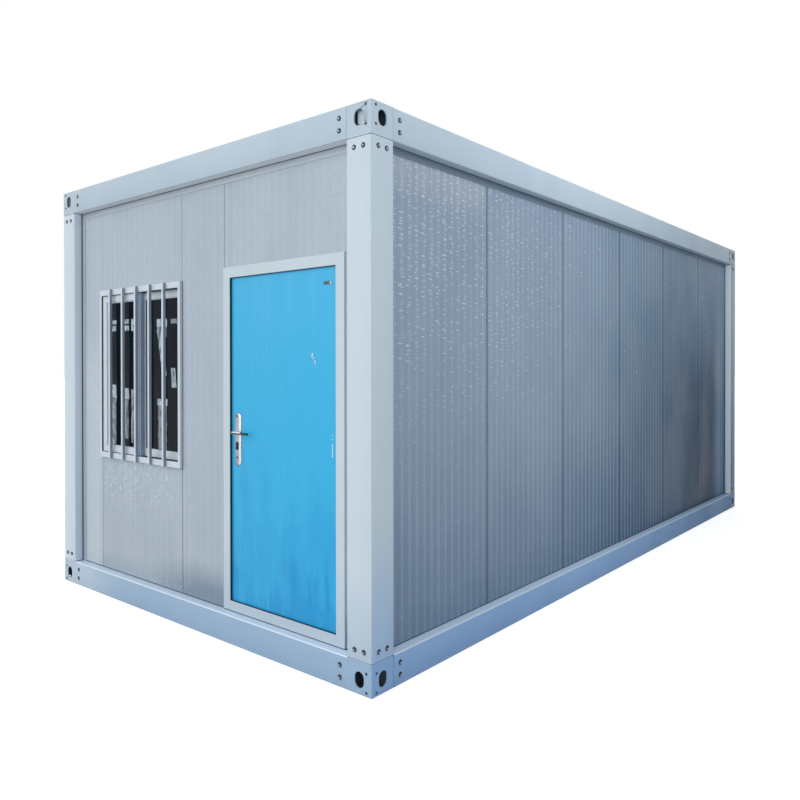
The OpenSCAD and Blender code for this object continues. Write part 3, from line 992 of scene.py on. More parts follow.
    def _dents(self, n: Nodes, ribs: Sockets, run: NodeSocket, up: NodeSocket) -> NodeSocket:
        """Mask of the rolled dents, in two sets of rows; most show high up near the front, where their glints
        are painted.

        Args:
            n: Helper for the material's tree.
            ribs: What the group of the ribs puts out.
            run: Position along the wall.
            up: Height above the ground.

        Returns:
            The mask.
        """
        patches = n.span(n.drawn_out(0.7, 2.2, 2.0, 0.5), 0.3, 0.6, 0.35, 1.0)
        near_front = n.span(run, -0.4, -2.2, 0.02, 0.85)
        level = n.less(up, n.span(run, -2.2, -0.8, 0.0, 0.5))
        high_up = n.span(level, 0.7, 2.05, 0.03, 1.0)
        density = n.times(n.times(near_front, high_up), patches)
        dents: object = 0.0
        for row, share in ((0.027, 1.0), (0.041, 0.8)):
            index = n.plus(ribs[1], row * 1000.0)
            rows = {"Up": up, "Index": index, "Row": row, "Density": n.times(density, share)}
            dents = n.most(dents, n.group(EFFECTS.flecks, Away=n.times(ribs[0], self.pitch), **rows))
        return dents


@dataclass(frozen=True)
class DoorPaint(Finish):
    """Blue paint of the door under a wrinkled clear film."""

    middle_colour: int
    low_colour: int
    grain_tint: Point = (1.4, 1.1, 1.04)
    wrinkle: float = 1.8 * MM
    gloss: float = 0.25

    def _sockets(self, n: Nodes) -> dict[str, object]:
        """Lays three blues from top to foot, wet runs and pale grain under the film.

        Args:
            n: Helper for the material's tree.

        Returns:
            What the shader's sockets take.
        """
        top, middle, low = (tone(c) for c in (self.colour, self.middle_colour, self.low_colour))
        up = n.split(n.at)[2]
        film = n.drawn_out(0.10, 15.0, 3.0)
        blots = n.drawn_out(0.7, 3.2, 3.0)
        level = n.scaled(n.less(blots, 0.5), 0.9, up)
        level = n.plus(level, n.times(n.less(film, 0.5), 1.1))
        base = n.mix(n.span(level, 0.55, 1.05), n.mix(n.span(level, 0.2, 0.5), low, middle), top)
        fine = n.drawn_out(0.5, 60.0, 3.0)
        drips = n.drawn_out(0.07, 46.0)
        wet = n.times(n.span(drips, 0.54, 0.62), n.span(up, 1.35, 1.0))
        base = n.mix(n.times(n.times(wet, n.span(blots, 0.4, 0.56)), 0.6), base, top)
        base = n.mix(n.times(n.span(fine, 0.45, 0.7), 0.18), base, n.tinted(base, *self.grain_tint))
        return {
            "Base Color": base,
            "Roughness": n.span(film, 0.4, 0.7, 0.36, 0.24),
            "Normal": n.bump(film, 0.2, self.wrinkle),
            "Specular IOR Level": self.gloss,
        }


@dataclass(frozen=True)
class PlainPaint(Finish):
    """Sprayed or moulded surface with a soft change of tone."""

    sheen: float = 0.4
    change: float = 0.12
    specular: float = 0.4
    peel: float = 0.2 * MM

    def _sockets(self, n: Nodes) -> dict[str, object]:
        """Lays a cloud of a darker tone and a fine skin over the colour.

        Args:
            n: Helper for the material's tree.

        Returns:
            What the shader's sockets take.
        """
        cloud = n.group(EFFECTS.cloud, Size=0.12)
        return {
            "Base Color": n.mix(n.times(cloud, self.change * 4), tone(self.colour), tone(self.colour, 0.8)),
            "Roughness": n.span(cloud, 0.0, 1.0, self.sheen - 0.05, self.sheen + 0.08),
            "Normal": n.bump(n.group(EFFECTS.skin, Grain=SKIN_GRAIN), 0.3, self.peel),
            "Specular IOR Level": self.specular,
        }


@dataclass(frozen=True)
class Metal(Finish):
    """Bare metal: zinc coated, brushed or dulled."""

    dull: int
    sheen: float = 0.3
    brush: tuple[float, float, float] = (1.0, 1.0, 1.0)
    scale: float = 60.0
    metal: float = 0.9
    relief: float = 0.3 * MM

    def _sockets(self, n: Nodes) -> dict[str, object]:
        """Lays flakes or strokes and a cloud of a duller tone over the metal.

        Args:
            n: Helper for the material's tree.

        Returns:
            What the shader's sockets take.
        """
        flakes = n.group(EFFECTS.flakes, Position=n.stretch(n.at, *self.brush), Scale=self.scale)
        worn = n.scaled(n.group(EFFECTS.cloud, Size=0.06), 0.5, n.times(flakes, 0.4), clamp=True)
        return {
            "Base Color": n.mix(worn, tone(self.colour), tone(self.dull)),
            "Roughness": n.span(flakes, 0.3, 0.7, self.sheen, self.sheen + 0.18),
            "Normal": n.bump(flakes, 0.12, self.relief),
            "Metallic": self.metal,
        }


@dataclass(frozen=True)
class PaneGlass(Finish):
    """Glass with dust, pale marks and scraps of film on it, near-black as painted shade of the dark room
    behind it.
    """

    marks: int
    scraps: Sequence[tuple[float, ...]]
    dust: float = 2.4
    gloss: float = 0.05

    def _sockets(self, n: Nodes) -> dict[str, object]:
        """Lays dust and the scraps over the dark glass.

        Args:
            n: Helper for the material's tree.

        Returns:
            What the shader's sockets take.
        """
        haze = n.group(EFFECTS.streaks, Threshold=0.46)
        base = n.mix(n.times(haze, 0.4), tone(self.colour), tone(self.colour, self.dust))
        mask: object = 0.0
        for across, up, width, height, lean, strength in self.scraps:
            size = {"Width": width, "Height": height, "Lean": lean}
            mask = n.most(mask, n.times(n.group(EFFECTS.patch, Across=across, Up=up, **size), strength))
        mask = n.times(mask, n.span(n.drawn_out(0.4, 34.0, 3.0), 0.36, 0.52, 0.35, 1.0))
        return {
            "Base Color": n.mix(mask, base, tone(self.marks)),
            "Roughness": n.span(haze, 0.0, 1.0, 0.06, 0.16),
            "Specular IOR Level": self.gloss,
        }


@dataclass(frozen=True)
class BoardFinish(Finish):
    """Floor or ceiling board with joints and a fine fleck."""

    seam: int
    width: float = 1.16
    darker: float = 0.82
    relief: float = 0.4 * MM

    def _sockets(self, n: Nodes) -> dict[str, object]:
        """Lays flecks, a cloud and the joints over the board.

        Args:
            n: Helper for the material's tree.

        Returns:
            What the shader's sockets take.
        """
        joint = n.group(EFFECTS.joints, Run=n.split(n.at)[1], Width=self.width)
        fleck = n.group(EFFECTS.flakes, Scale=120.0)
        shade = n.scaled(n.group(EFFECTS.cloud, Size=0.5), 0.5, n.times(fleck, 0.3))
        mixed = n.mix(shade, tone(self.colour), tone(self.colour, self.darker))
        return {
            "Base Color": n.mix(joint, mixed, tone(self.seam)),
            "Roughness": n.span(fleck, 0.3, 0.7, 0.42, 0.56),
            "Normal": n.bump(n.less(fleck, n.times(joint, 3.0)), 0.3, self.relief),
        }


# Painted shade low on the bottom beams, and their rain streaks.
LOW_SHADE_AND_DIRT = {"low": 0.02, "high": 0.15, "dirt": 0.16}
# A lighter left end of the columns.
LEFT_LIGHTER = {"high": 0.7, "left_share": 0.85, "left_colour": 0xD0DDE5}
# far paints shade towards the back; crest and valley set the ribs' painted highlight and shade.
SIDE_WALL = {"module": MODULE, "offset": 0.0, "far": 0.32, "crest": 0.12, "valley_shade": 0.12}
FRONT_WALL = {"module": 30.0, "offset": 15.585, "crest": 0.05, "valley_shade": 0.04, "grime": 0.5, "low_right_darkening": 0.8}
BACK_WALL = {"module": MODULE, "offset": MODULE / 2, "crest": 0.2}
SHORT_WALLS = 0xB1BEC9, 0xAFBAC3
UPRIGHT, LEVEL = (1.0, 1.0, 0.05), (0.05, 1.0, 1.0)
SCRAPS = (
    (-0.912, 1.851, 0.070, 0.034, 0.0, 0.95),
    (-0.912, 1.809, 0.066, 0.044, 0.0, 0.8),
    (-0.750, 1.850, 0.066, 0.038, 0.0, 0.9),
    (-0.750, 1.806, 0.066, 0.042, 0.0, 0.95),
    (-0.676, 1.825, 0.034, 0.086, 0.0, 0.8),
    (-0.914, 1.380, 0.068, 0.10, 0.0, 0.95),
    (-0.916, 1.170, 0.066, 0.33, 0.0, 0.6),
    (-0.752, 1.369, 0.066, 0.080, 0.0, 0.9),
    (-0.756, 1.200, 0.056, 0.27, 0.0, 0.5),
    (-0.680, 1.223, 0.032, 0.36, 0.0, 0.5),
    (-0.374, 1.828, 0.120, 0.060, 0.0, 0.9),
    (-0.372, 1.770, 0.110, 0.07, 0.0, 0.6),
    (-0.376, 1.640, 0.056, 0.30, -0.22, 0.8),
    (-0.240, 1.835, 0.070, 0.036, 0.0, 0.45),
    (-0.243, 1.480, 0.055, 0.130, -0.1, 0.8),
    (-0.370, 1.323, 0.12, 0.050, 0.0, 0.95),
    (-0.370, 1.160, 0.10, 0.30, 0.0, 0.5),
)


class Look(Enum):
    """Every finish of the house."""

    FRAME = FramePaint("frame_paint", 0xB5C6D3, 0xAABCCC)
    # Lit copy of the frame paint for the sides, with painted shade towards the back.
    LIT_FRAME_SIDE = FramePaint("frame_side_painted_light", 0xC8D8E4, 0xBACBD9, far=0.55)
    COLUMN = FramePaint("column_paint", 0xC7D5DE, 0xAEC0D0, **LEFT_LIGHTER)
    # Painted light on the front columns' sides, painted shade on the back columns' sides, painted light on
    # the reveals.
    LIT_COLUMN_SIDE = FramePaint("column_side_painted_light", 0xD2E2EC, 0xB0CEF0, 0.15, 0.95, gloss=0.1)
    SHADED_BACK_COLUMN_SIDE = FramePaint("back_column_side_painted_shade", 0xB4C4D5, 0x76889E, 0.3, 2.4, gloss=0.05)
    LIT_REVEAL = FramePaint("reveal_painted_light", 0xE8F2FA, 0xDEECFA, 0.4, 1.6)
    BEAM_LOW = FramePaint("low_beam_paint", 0x98B3CD, 0x93AFCA, left_share=0.7, **LOW_SHADE_AND_DIRT)
    # Lit copy of the low beam paint for the sides, with painted shade towards the back.
    LIT_BEAM_LOW_SIDE = FramePaint("low_side_painted_light", 0x9AC0EC, 0x94BAE8, far=0.55, gloss=0.08, **LOW_SHADE_AND_DIRT)
    # Painted light on the bottom beams' ledges, the top beams' undersides and the bottom beams' upper folds.
    LIT_LEDGE = FramePaint("ledge_painted_light", 0xC6D9EC, 0xC0D5EA, far=0.7, **LOW_SHADE_AND_DIRT)
    LIT_SOFFIT = FramePaint("soffit_painted_light", 0xEEF1F2, 0xE8ECF0)
    FOLD_HIGHLIGHT = FramePaint("fold_painted_highlight", 0xE2ECF5, 0xDCE8F3, far=0.8)
    # Painted shade inside the fittings.
    INSIDE = FramePaint("fitting_inside_painted_shade", 0x687682, 0x5A6874, sheen=0.7, gloss=0.05)
    TRIM = FramePaint("trim_paint", 0xB8C3CD, 0xAEBBC7)
    SIDE_TRIM = FramePaint("side_trim_paint", 0x8495A4, 0x788A9C, far=0.4, gloss=0.08)
    LONG_WALL = PanelPaint("long_wall_sheet", 0x9FB0C2, 0x849AB2, 1, glints=0.78, haze=0.6, **SIDE_WALL)
    FRONT_WALL = PanelPaint("front_wall_sheet", *SHORT_WALLS, 0, shimmer=0.8, stucco=0.7, **FRONT_WALL)
    BACK_WALL = PanelPaint("back_wall_sheet", *SHORT_WALLS, 0, **BACK_WALL)
    DOOR = DoorPaint("door_paint", 0x32B0E0, 0x2AA4D9, 0x1C93CE)
    DOOR_FRAME = FramePaint("door_frame_paint", 0xC4D2DA, 0xB2C1CE, high=0.7, dirt=0.06)
    PLASTIC = PlainPaint("window_plastic", 0xCDD7DF, 0.34, 0.08)
    BARS = PlainPaint("bar_paint", 0xCEDAE3, 0.36, 0.1)
    # Painted shade on the bars' right sides.
    SHADED_BAR_SIDE = PlainPaint("bar_side_painted_shade", 0x96A8BC, 0.36, 0.1, 0.15)
    # Painted shade on the left sash's meeting stile.
    SHADED_MEETING_STILE = PlainPaint("meeting_stile_painted_shade", 0xA0B2CA, 0.4, 0.14)
    # The glass's near-black colour is painted shade of the dark room behind it.
    GLASS = PaneGlass("window_glass", 0x08161E, 0xD4E0EA, SCRAPS)
    # Dark seals, which also stand in for the shade in the gaps they fill.
    SEAL_AND_GAP_SHADE = PlainPaint("seal_rubber_and_gap_shade", 0x26364A, 0.6, 0.2, 0.15)
    PLATE = PlainPaint("plate_enamel", 0x3A546C, 0.35, 0.1)
    FILM = PlainPaint("film_scrap", 0xE2E6E9, 0.3, 0.1)
    ZINC = Metal("bolt_zinc", 0x96A2AE, 0x606E7E, 0.24, metal=0.6)
    # Near-black washers, which also stand in for the shade round each head, and the painted shade on the
    # bolts' domes.
    WASHER = Metal("washer_steel", 0x181F28, 0x0C1118, 0.6, metal=0.0)
    HANDLE = Metal("handle_steel", 0xA4A9B1, 0x787E87, 0.3, UPRIGHT, 300.0, 0.45)
    # Painted highlight on the handle plates' ridges and the levers' tops.
    PAINTED_HIGHLIGHT = Metal("handle_ridge_painted_highlight", 0xE2E5E8, 0xBEC3C8, 0.25, metal=0.5)
    # The levers' dark colour is painted shade.
    LEVER = Metal("lever_steel", 0x303842, 0x161C26, 0.2, LEVEL, 300.0, 0.5)
    HINGE = Metal("hinge_steel", 0xBEC4CB, 0x828A94, 0.34, metal=0.7)
    # Dark lock steel, also the painted shade on the handle plates' rims.
    DARK_STEEL_AND_RIM_SHADE = PlainPaint("lock_steel_and_rim_shade", 0x1A1F26, 0.4, specular=0.12)
    GALVANISED = Metal("galvanised_steel", 0xB0B8C0, 0x828B95, 0.4, scale=28.0)
    ROOF = FramePaint("roof_sheet", 0xB0BCC6, 0xAAB4BE, dirt=0.3)
    FLOOR = BoardFinish("floor_board", 0x969490, 0x5A5855)
    CEILING = BoardFinish("ceiling_board", 0xDEE2E5, 0xAAAFB4, MODULE)

    @cached_property
    def material(self) -> Material:
        """The material, made when it is first used."""
        return self.value.make()


# ---- Sub-assemblies ----


@dataclass(frozen=True)
class Corner:
    """A corner of the house: whether it is one on the right, at the back and at the top."""

    right: bool
    back: bool
    top: bool = False

    @property
    def post(self) -> str:
        """Name of its column, without what comes before the end and the side."""
        return f"{'back' if self.back else 'front'}_{'right' if self.right else 'left'}"

    @property
    def far(self) -> tuple[bool, bool, bool]:
        """Whether it lies at the far end of each axis."""
        return self.right, self.back, self.top


ENDS_AND_SIDES = tuple(product((False, True), repeat=2))
LEVELS = {False: "bottom", True: "top"}


@dataclass
class SteelFrame:
    """Corner fittings, columns and beams of folded and welded steel, with their bolts."""

    nodes: dict[str, Object]
    low: Vector
    high: Vector
    post: float = 160 * MM
    wall: float = 3 * MM
    fitting_wall: float = 6 * MM
    hole_reach: float = 44 * MM
    shim_at: Point = (24 * MM, 20 * MM, 8 * MM)
    left_shim_at: Point = (27 * MM, 11 * MM, 8 * MM)
    shim_far: Span = (104 * MM, 98 * MM)
    shim: float = 4 * MM
    recess: float = 60 * MM
    flange: float = 130 * MM
    lip_low: float = 18 * MM
    lip_high: float = 12 * MM
    fold: float = 5 * MM
    slope: float = 0.2
    joint: float = 0.1 * MM
    column_joint: float = 3.2 * MM
    side_joint: float = 2.4 * MM
    bead: float = 4.5 * MM
    bead_out: float = 1.8 * MM
    bolt_far: float = 208 * MM
    bolt_rows: Span = (50 * MM, 110 * MM)
    bolt_steps: int = 14
    washer_steps: int = 16
    washer_r: float = 13.0 * MM
    washer_h: float = 2.0 * MM
    head_r: float = 8.0 * MM
    head_h: float = 7.6 * MM

    def build(self) -> None:
        """Builds every part of the frame."""
        for top in LEVELS:
            for back, right in ENDS_AND_SIDES:
                self._fitting(Corner(right, back, top))
                self._bolts(Corner(right, back, top))
            for facing in Facing:
                self._beam(facing, top)
        for back, right in ENDS_AND_SIDES:
            self._column(Corner(right, back))

    def _from(self, corner: Corner, across: float, along: float, up: float) -> Vector:
        """The point at three distances inwards from a corner."""
        box = zip(corner.far, self.low, self.high, (across, along, up))
        return Vector([high - reach if far else low + reach for far, low, high, reach in box])

    def _inside(self, corner: Corner, point: Vector) -> list[float]:
        """The three distances of a point inwards from a corner."""
        box = zip(corner.far, self.low, self.high, point)
        return [high - place if far else place - low for far, low, high, place in box]

    def _paints(self, top: bool) -> tuple[Look, Look]:
        """The paints of a beam or fitting towards the front and towards the side, the side one a copy with
        painted light and painted shade towards the back.
        """
        return (Look.FRAME, Look.LIT_FRAME_SIDE) if top else (Look.BEAM_LOW, Look.LIT_BEAM_LOW_SIDE)

    def _fitting(self, corner: Corner) -> None:
        """Builds a corner fitting from its node with painted shade inside, the side's painted light on faces
        that look sideways, and a shim behind one slot.

        Args:
            corner: Where it stands.
        """
        name = f"{LEVELS[corner.top]}_fitting_{corner.post}"
        slack, skin = 0.2 * MM, 0.5 * MM
        plate = self.fitting_wall

        def finish(face: BMFace) -> int:
            """Picks the painted shade inside the box and in the left fittings' small holes, else the side's
            lit copy for faces that look sideways.

            Args:
                face: A face of the fitting.

            Returns:
                The index of its finish.
            """
            depth = self._inside(corner, face.calc_center_median())
            inside = min(depth) > plate - slack and max(depth) < self.post - plate + slack
            hole = skin < min(depth) < plate - skin and max(depth[:2]) < self.hole_reach
            # Painted shade in the box and in the walls of the left fittings' small holes.
            dark = inside or (hole and not corner.right)
            return 1 if dark else 2 * (abs(face.normal.x) > SIDEWAYS)

        shape = Shaper(self.nodes[name])
        shape.paint(finish)
        shape.round_folds(self.fold)
        # A shim inside the top front slot: a pale plate that catches light on the right, painted shade on the
        # left.
        if corner.top and not corner.back:
            across, along, up = self.shim_at if corner.right else self.left_shim_at
            far_across, far_up = self.shim_far
            near, far = (across, along, up), (far_across, along + self.shim, far_up)
            edging = replace(EASED, finish=int(not corner.right))
            shape.block(self._from(corner, *near), self._from(corner, *far), edging)
        front, side = self._paints(corner.top)
        shape.settle(f"{name}_steel", [front, Look.INSIDE, side], node=name)

    def _beam(self, facing: Facing, top: bool) -> None:
        """Builds a beam: a lipped channel with rounded folds.

        Args:
            facing: The side it lies on.
            top: Whether it is a roof beam.
        """
        name = f"{LEVELS[top]}_beam_{facing.name.lower()}"
        lip, deep, web, tall = self.lip_high if top else self.lip_low, self.flange, self.wall, self.post
        back = deep - web
        line = [(0, 0), (deep, 0), (deep, lip), (back, lip), (back, web), (web, web), (web, tall - web)]
        line += [(back, tall - web), (back, tall - lip), (deep, tall - lip), (deep, tall), (0, tall)]
        half, reach = (self.high.y, self.high.x) if facing.long else (self.high.x, self.high.y)
        gap = self.side_joint if facing.long and not top else self.joint
        start = self.post + gap - half
        heights = [self.high.z - rise if top else rise for _, rise in line]
        points = [facing.at(start, reach - depth, up) for (depth, _), up in zip(line, heights)]

        def finish(face: BMFace) -> int:
            """Picks by the face's slope the ledge's painted light, the fold's painted highlight or the
            soffit's painted bounce light.

            Args:
                face: A face of the beam.

            Returns:
                The index of its finish.
            """
            rise = face.normal.z
            if top:
                return 3 * (rise < -LEVEL_FACE and not facing.long)
            return 1 if rise > LEVEL_FACE else 2 * (rise > self.slope)

        shape = Shaper()
        shape.drawn(shape.section(points, (0, 1, 10, 11), self.fold), facing.along * (-2 * start))
        shape.paint(finish)
        looks = [self._paints(top)[facing.long], Look.LIT_LEDGE, Look.FOLD_HIGHLIGHT, Look.LIT_SOFFIT]
        shape.settle(f"{name}_steel", looks, node=name, smooth=35)

    def _column(self, corner: Corner) -> None:
        """Builds a column: a closed hollow angle with rounded folds.

        Args:
            corner: The bottom corner it stands on.
        """
        name = f"column_{corner.post}"
        low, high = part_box(name)
        rings = []
        for inset in (0.0, self.wall):
            far, near = self.post - inset, self.recess - inset
            line = [(inset, inset), (far, inset), (far, near), (near, near), (near, far), (inset, far)]
            rings.append([self._from(corner, a, b, low.z + self.column_joint) for a, b in line])

        def finish(face: BMFace) -> int:
            """Picks the reveal's painted light for the fold beside the wall, and for what looks sideways the
            front columns' painted light or the back columns' painted shade.

            Args:
                face: A face of the column.

            Returns:
                The index of its finish.
            """
            depth = self._inside(corner, face.calc_center_median())[corner.back]
            if abs(depth - self.post) < MM:
                return 1
            return (2 + corner.back) * (abs(face.normal.x) > SIDEWAYS)

        shape = Shaper()
        shape.tube(rings, self.fold, (0, 0, high.z - low.z - 2 * self.column_joint))
        for z in (low.z - self.bead / 2, high.z + self.bead / 2):
            self._weld(shape, corner, z)
        shape.paint(finish)
        looks = [Look.COLUMN, Look.LIT_REVEAL, Look.LIT_COLUMN_SIDE, Look.SHADED_BACK_COLUMN_SIDE]
        shape.settle(f"{name}_steel", looks, node=name, smooth=35)

    def _weld(self, shape: Shaper, corner: Corner, z: float) -> None:
        """Adds the weld beads across the two outer faces at one end of a column.

        Args:
            shape: Where they are added.
            corner: The bottom corner the column stands on.
            z: Height of the joint.
        """
        spans = (self.fold, self.post - self.fold), (-self.bead_out, MM)
        for x, y in (spans, spans[::-1]):
            near, far = (self._from(corner, x[i], y[i], z + (i - 0.5) * self.bead) for i in (0, 1))
            shape.block(near, far, EASED)

    def _bolts(self, corner: Corner) -> None:
        """Builds the eight bolts round one corner.

        Args:
            corner: The corner.
        """
        shape = Shaper()
        x_out, y_out = (1 if far else -1 for far in corner.far[:2])
        for row in self.bolt_rows:
            for across, up in ((self.bolt_far, row), (row, self.bolt_far)):
                self._bolt(shape, self._from(corner, across, 0, up), (0, y_out, 0))
                self._bolt(shape, self._from(corner, 0, across, up), (x_out, 0, 0))
        name = f"bolts_{LEVELS[corner.top]}_{corner.post}"
        shape.settle(name, [Look.ZINC, Look.WASHER], smooth=40)

    def _bolt(self, shape: Shaper, at: Vector, out: Point) -> None:
        """Adds a near-black washer and its domed head, whose upper faces carry painted shade.

        Args:
            shape: Where it is added.
            at: Middle of the bolt on the steel's face.
            out: Direction out of the face.
        """
        r, h, w, top = self.head_r, self.head_h, self.washer_r, self.washer_h
        ring = [(w, -0.5 * MM), (w, top - 0.6 * MM), (w - 0.8 * MM, top), (0.0, top)]
        shape.turned(ring, at, out, self.washer_steps, finish=1)
        dome = [(r, 1.5 * MM), (r, 0.5 * h), (0.9 * r, 0.76 * h), (0.62 * r, 0.94 * h), (0.3 * r, h), (0, h)]
        for face in shape.turned(dome, at, out, self.bolt_steps):
            # Painted shade on the dome's upper faces.
            face.material_index = int(face.normal.z > self.slope)


@dataclass
class RibbedWall:
    """Sandwich panels with fine ribs on their outer skin, side by side."""

    facing: Facing
    pitch: float = RIB_PITCH
    rib_base: float = 24 * MM
    rib_crown: float = 11 * MM
    rib_h: float = 1.2 * MM
    margin: float = 6 * MM
    chamfer: float = 1.5 * MM
    gap: float = 7 * MM
    foot: float = 6 * MM

    def panel(self, shape: Shaper, spans: Span, middle: float, depth: Span, heights: Span) -> None:
        """Adds one panel.

        Args:
            shape: Where it is added.
            spans: Its two ends along the wall.
            middle: A place along the wall where a rib stands.
            depth: Place of the inner and outer skin along the outward axis.
            heights: Its foot and its top.
        """
        (start, end), (inner, outer) = spans, depth
        half, crown, crest = self.rib_base / 2, self.rib_crown / 2, outer + self.rib_h
        line = [(start, inner), (start, outer - self.chamfer), (start + self.chamfer, outer)]
        centre = middle + math.ceil((start - middle) / self.pitch) * self.pitch
        while centre < end:
            if centre - half > start + self.margin and centre + half < end - self.margin:
                line += [(centre - half, outer), (centre - crown, crest)]
                line += [(centre + crown, crest), (centre + half, outer)]
            centre += self.pitch
        line += [(end - self.chamfer, outer), (end, outer - self.chamfer), (end, inner)]
        points = [self.facing.at(run, out, heights[0]) for run, out in line]
        shape.prism(points, (0, 0, heights[1] - heights[0]))

    def strip(self, shape: Shaper, spans: Span, depth: Span, heights: Span, finish: int = 0) -> None:
        """Adds a plain strip, such as a seal, along the wall.

        Args:
            shape: Where it is added.
            spans: Its two ends along the wall.
            depth: Its inner and outer side along the outward axis.
            heights: Its foot and its top.
            finish: Index of its finish.
        """
        near, far = (self.facing.at(*place) for place in zip(spans, depth, heights))
        shape.block(near, far, Edging(finish=finish))


@dataclass
class Walls:
    """All walls: the sides and the back panel by panel, the front round its openings."""

    nodes: dict[str, Object]
    module: float = MODULE
    front_middle: float = -585 * MM
    front_rib_h: float = 0.5 * MM
    low_wall: float = 0.2
    strips: Span = (5 * MM, 0.8 * MM)
    seal: float = 2.5 * MM
    seal_back: float = 12 * MM
    skin: float = 0.2 * MM
    head_seal: Span = (1.5 * MM, 4.2 * MM)
    side_seal: float = 3.8 * MM
    side_reach: float = 8 * MM
    edge_seal: float = 3 * MM
    door_seal_top: float = 1.35

    def build(self) -> None:
        """Builds the walls, their seals and their trims."""
        self._run("right_wall", Facing.RIGHT, 6)
        self._run("left_wall", Facing.LEFT, 6)
        self._run("back_wall", Facing.BACK, 3)
        for part in ("left", "under_window", "over_window", "middle", "over_door", "right"):
            self._front(f"front_wall_{part}")
        self._seals()
        self._trims()

    def _trims(self) -> None:
        """Builds the trims from their node; those of the long walls are darker, with painted shade towards
        the back.
        """
        shape = Shaper(self.nodes["wall_trims"])
        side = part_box("right_wall")[1].x - MM
        shape.paint(lambda face: int(all(abs(v.co.x) > side for v in face.verts)))
        looks = [Look.TRIM, Look.SIDE_TRIM]
        shape.settle("wall_trims_steel", looks, node="wall_trims")

    def _depth(self, name: str, facing: Facing) -> Span:
        """Inner and outer skin of a wall's node along its outward axis."""
        inner, outer = sorted(place.dot(facing.out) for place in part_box(name))
        return inner, outer

    def _run(self, name: str, facing: Facing, count: int) -> None:
        """Builds a wall of equal panels.

        Args:
            name: Name of the node.
            facing: Where it looks.
            count: Number of its panels.
        """
        wall = RibbedWall(facing)
        low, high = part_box(name)
        inner, outer = self._depth(name, facing)
        heights = low.z + wall.foot, high.z
        joints = [(i - count / 2) * self.module for i in range(1, count)]
        starts = [low.dot(facing.along), *(joint + wall.gap / 2 for joint in joints)]
        ends = [*(joint - wall.gap / 2 for joint in joints), high.dot(facing.along)]
        shape = Shaper()
        for i, span in enumerate(zip(starts, ends)):
            wall.panel(shape, span, (i + 0.5 - count / 2) * self.module, (inner, outer), heights)
        behind = inner + self.strips[0], outer - self.strips[1]
        # Dark strips behind the joints, which also stand in for the shade in them.
        for joint in joints:
            wall.strip(shape, (joint - wall.gap, joint + wall.gap), behind, heights, 1)
        looks = [Look.LONG_WALL if facing.long else Look.BACK_WALL, Look.SEAL_AND_GAP_SHADE]
        shape.settle(f"{name}_panels", looks, node=name)

    def _front(self, name: str) -> None:
        """Builds one piece of the front wall.

        Args:
            name: Name of the node.
        """
        wall = RibbedWall(Facing.FRONT, rib_h=self.front_rib_h)
        low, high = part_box(name)
        foot = low.z + (wall.foot if low.z < self.low_wall else 0.0)
        shape = Shaper()
        wall.panel(shape, (low.x, high.x), self.front_middle, self._depth(name, Facing.FRONT), (foot, high.z))
        shape.settle(f"{name}_panel", [Look.FRONT_WALL], node=name)

    def _seals(self) -> None:
        """Builds the dark seals at the foot and the head of each wall and beside its columns, which also
        stand in for the shade in those gaps.
        """
        shape = Shaper()
        low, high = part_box("right_wall")
        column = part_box("column_front_right")[0].x, -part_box("column_front_right")[1].y
        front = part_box("front_wall_left")[0].x
        names = "right_wall", "left_wall", "back_wall", "front_wall_left"
        for name, facing in zip(names, (Facing.RIGHT, Facing.LEFT, Facing.BACK, Facing.FRONT)):
            wall = RibbedWall(facing)
            outer = self._depth(name, facing)[1]
            reach = (low.y, high.y) if facing.long else (front, -front)
            over, (thick, drop) = outer + self.skin, self.head_seal
            wall.strip(shape, reach, (outer - self.seal_back, outer - self.seal), (low.z, low.z + wall.foot))
            wall.strip(shape, reach, (over, outer + thick), (high.z - drop, high.z))
            inner = column[facing.long]
            for span in ((-inner, -inner + self.side_seal), (inner - self.side_seal, inner)):
                wall.strip(shape, span, (over, outer + self.side_reach), (low.z, high.z), int(facing.long))
        for name, lift, top, skin, finish in (
            ("front_wall_middle", 6 * MM, self.door_seal_top, 0.4 * MM, 0),
            ("front_wall_over_window", 0.0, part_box("front_wall_over_window")[1].z, 0.3 * MM, 1),
        ):
            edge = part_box(name)[0]
            depth = -edge.y - self.edge_seal, -edge.y - skin
            wall.strip(shape, (edge.x - self.edge_seal, edge.x), depth, (edge.z + lift, top), finish)
        shape.settle("wall_seals", [Look.SEAL_AND_GAP_SHADE, Look.TRIM])


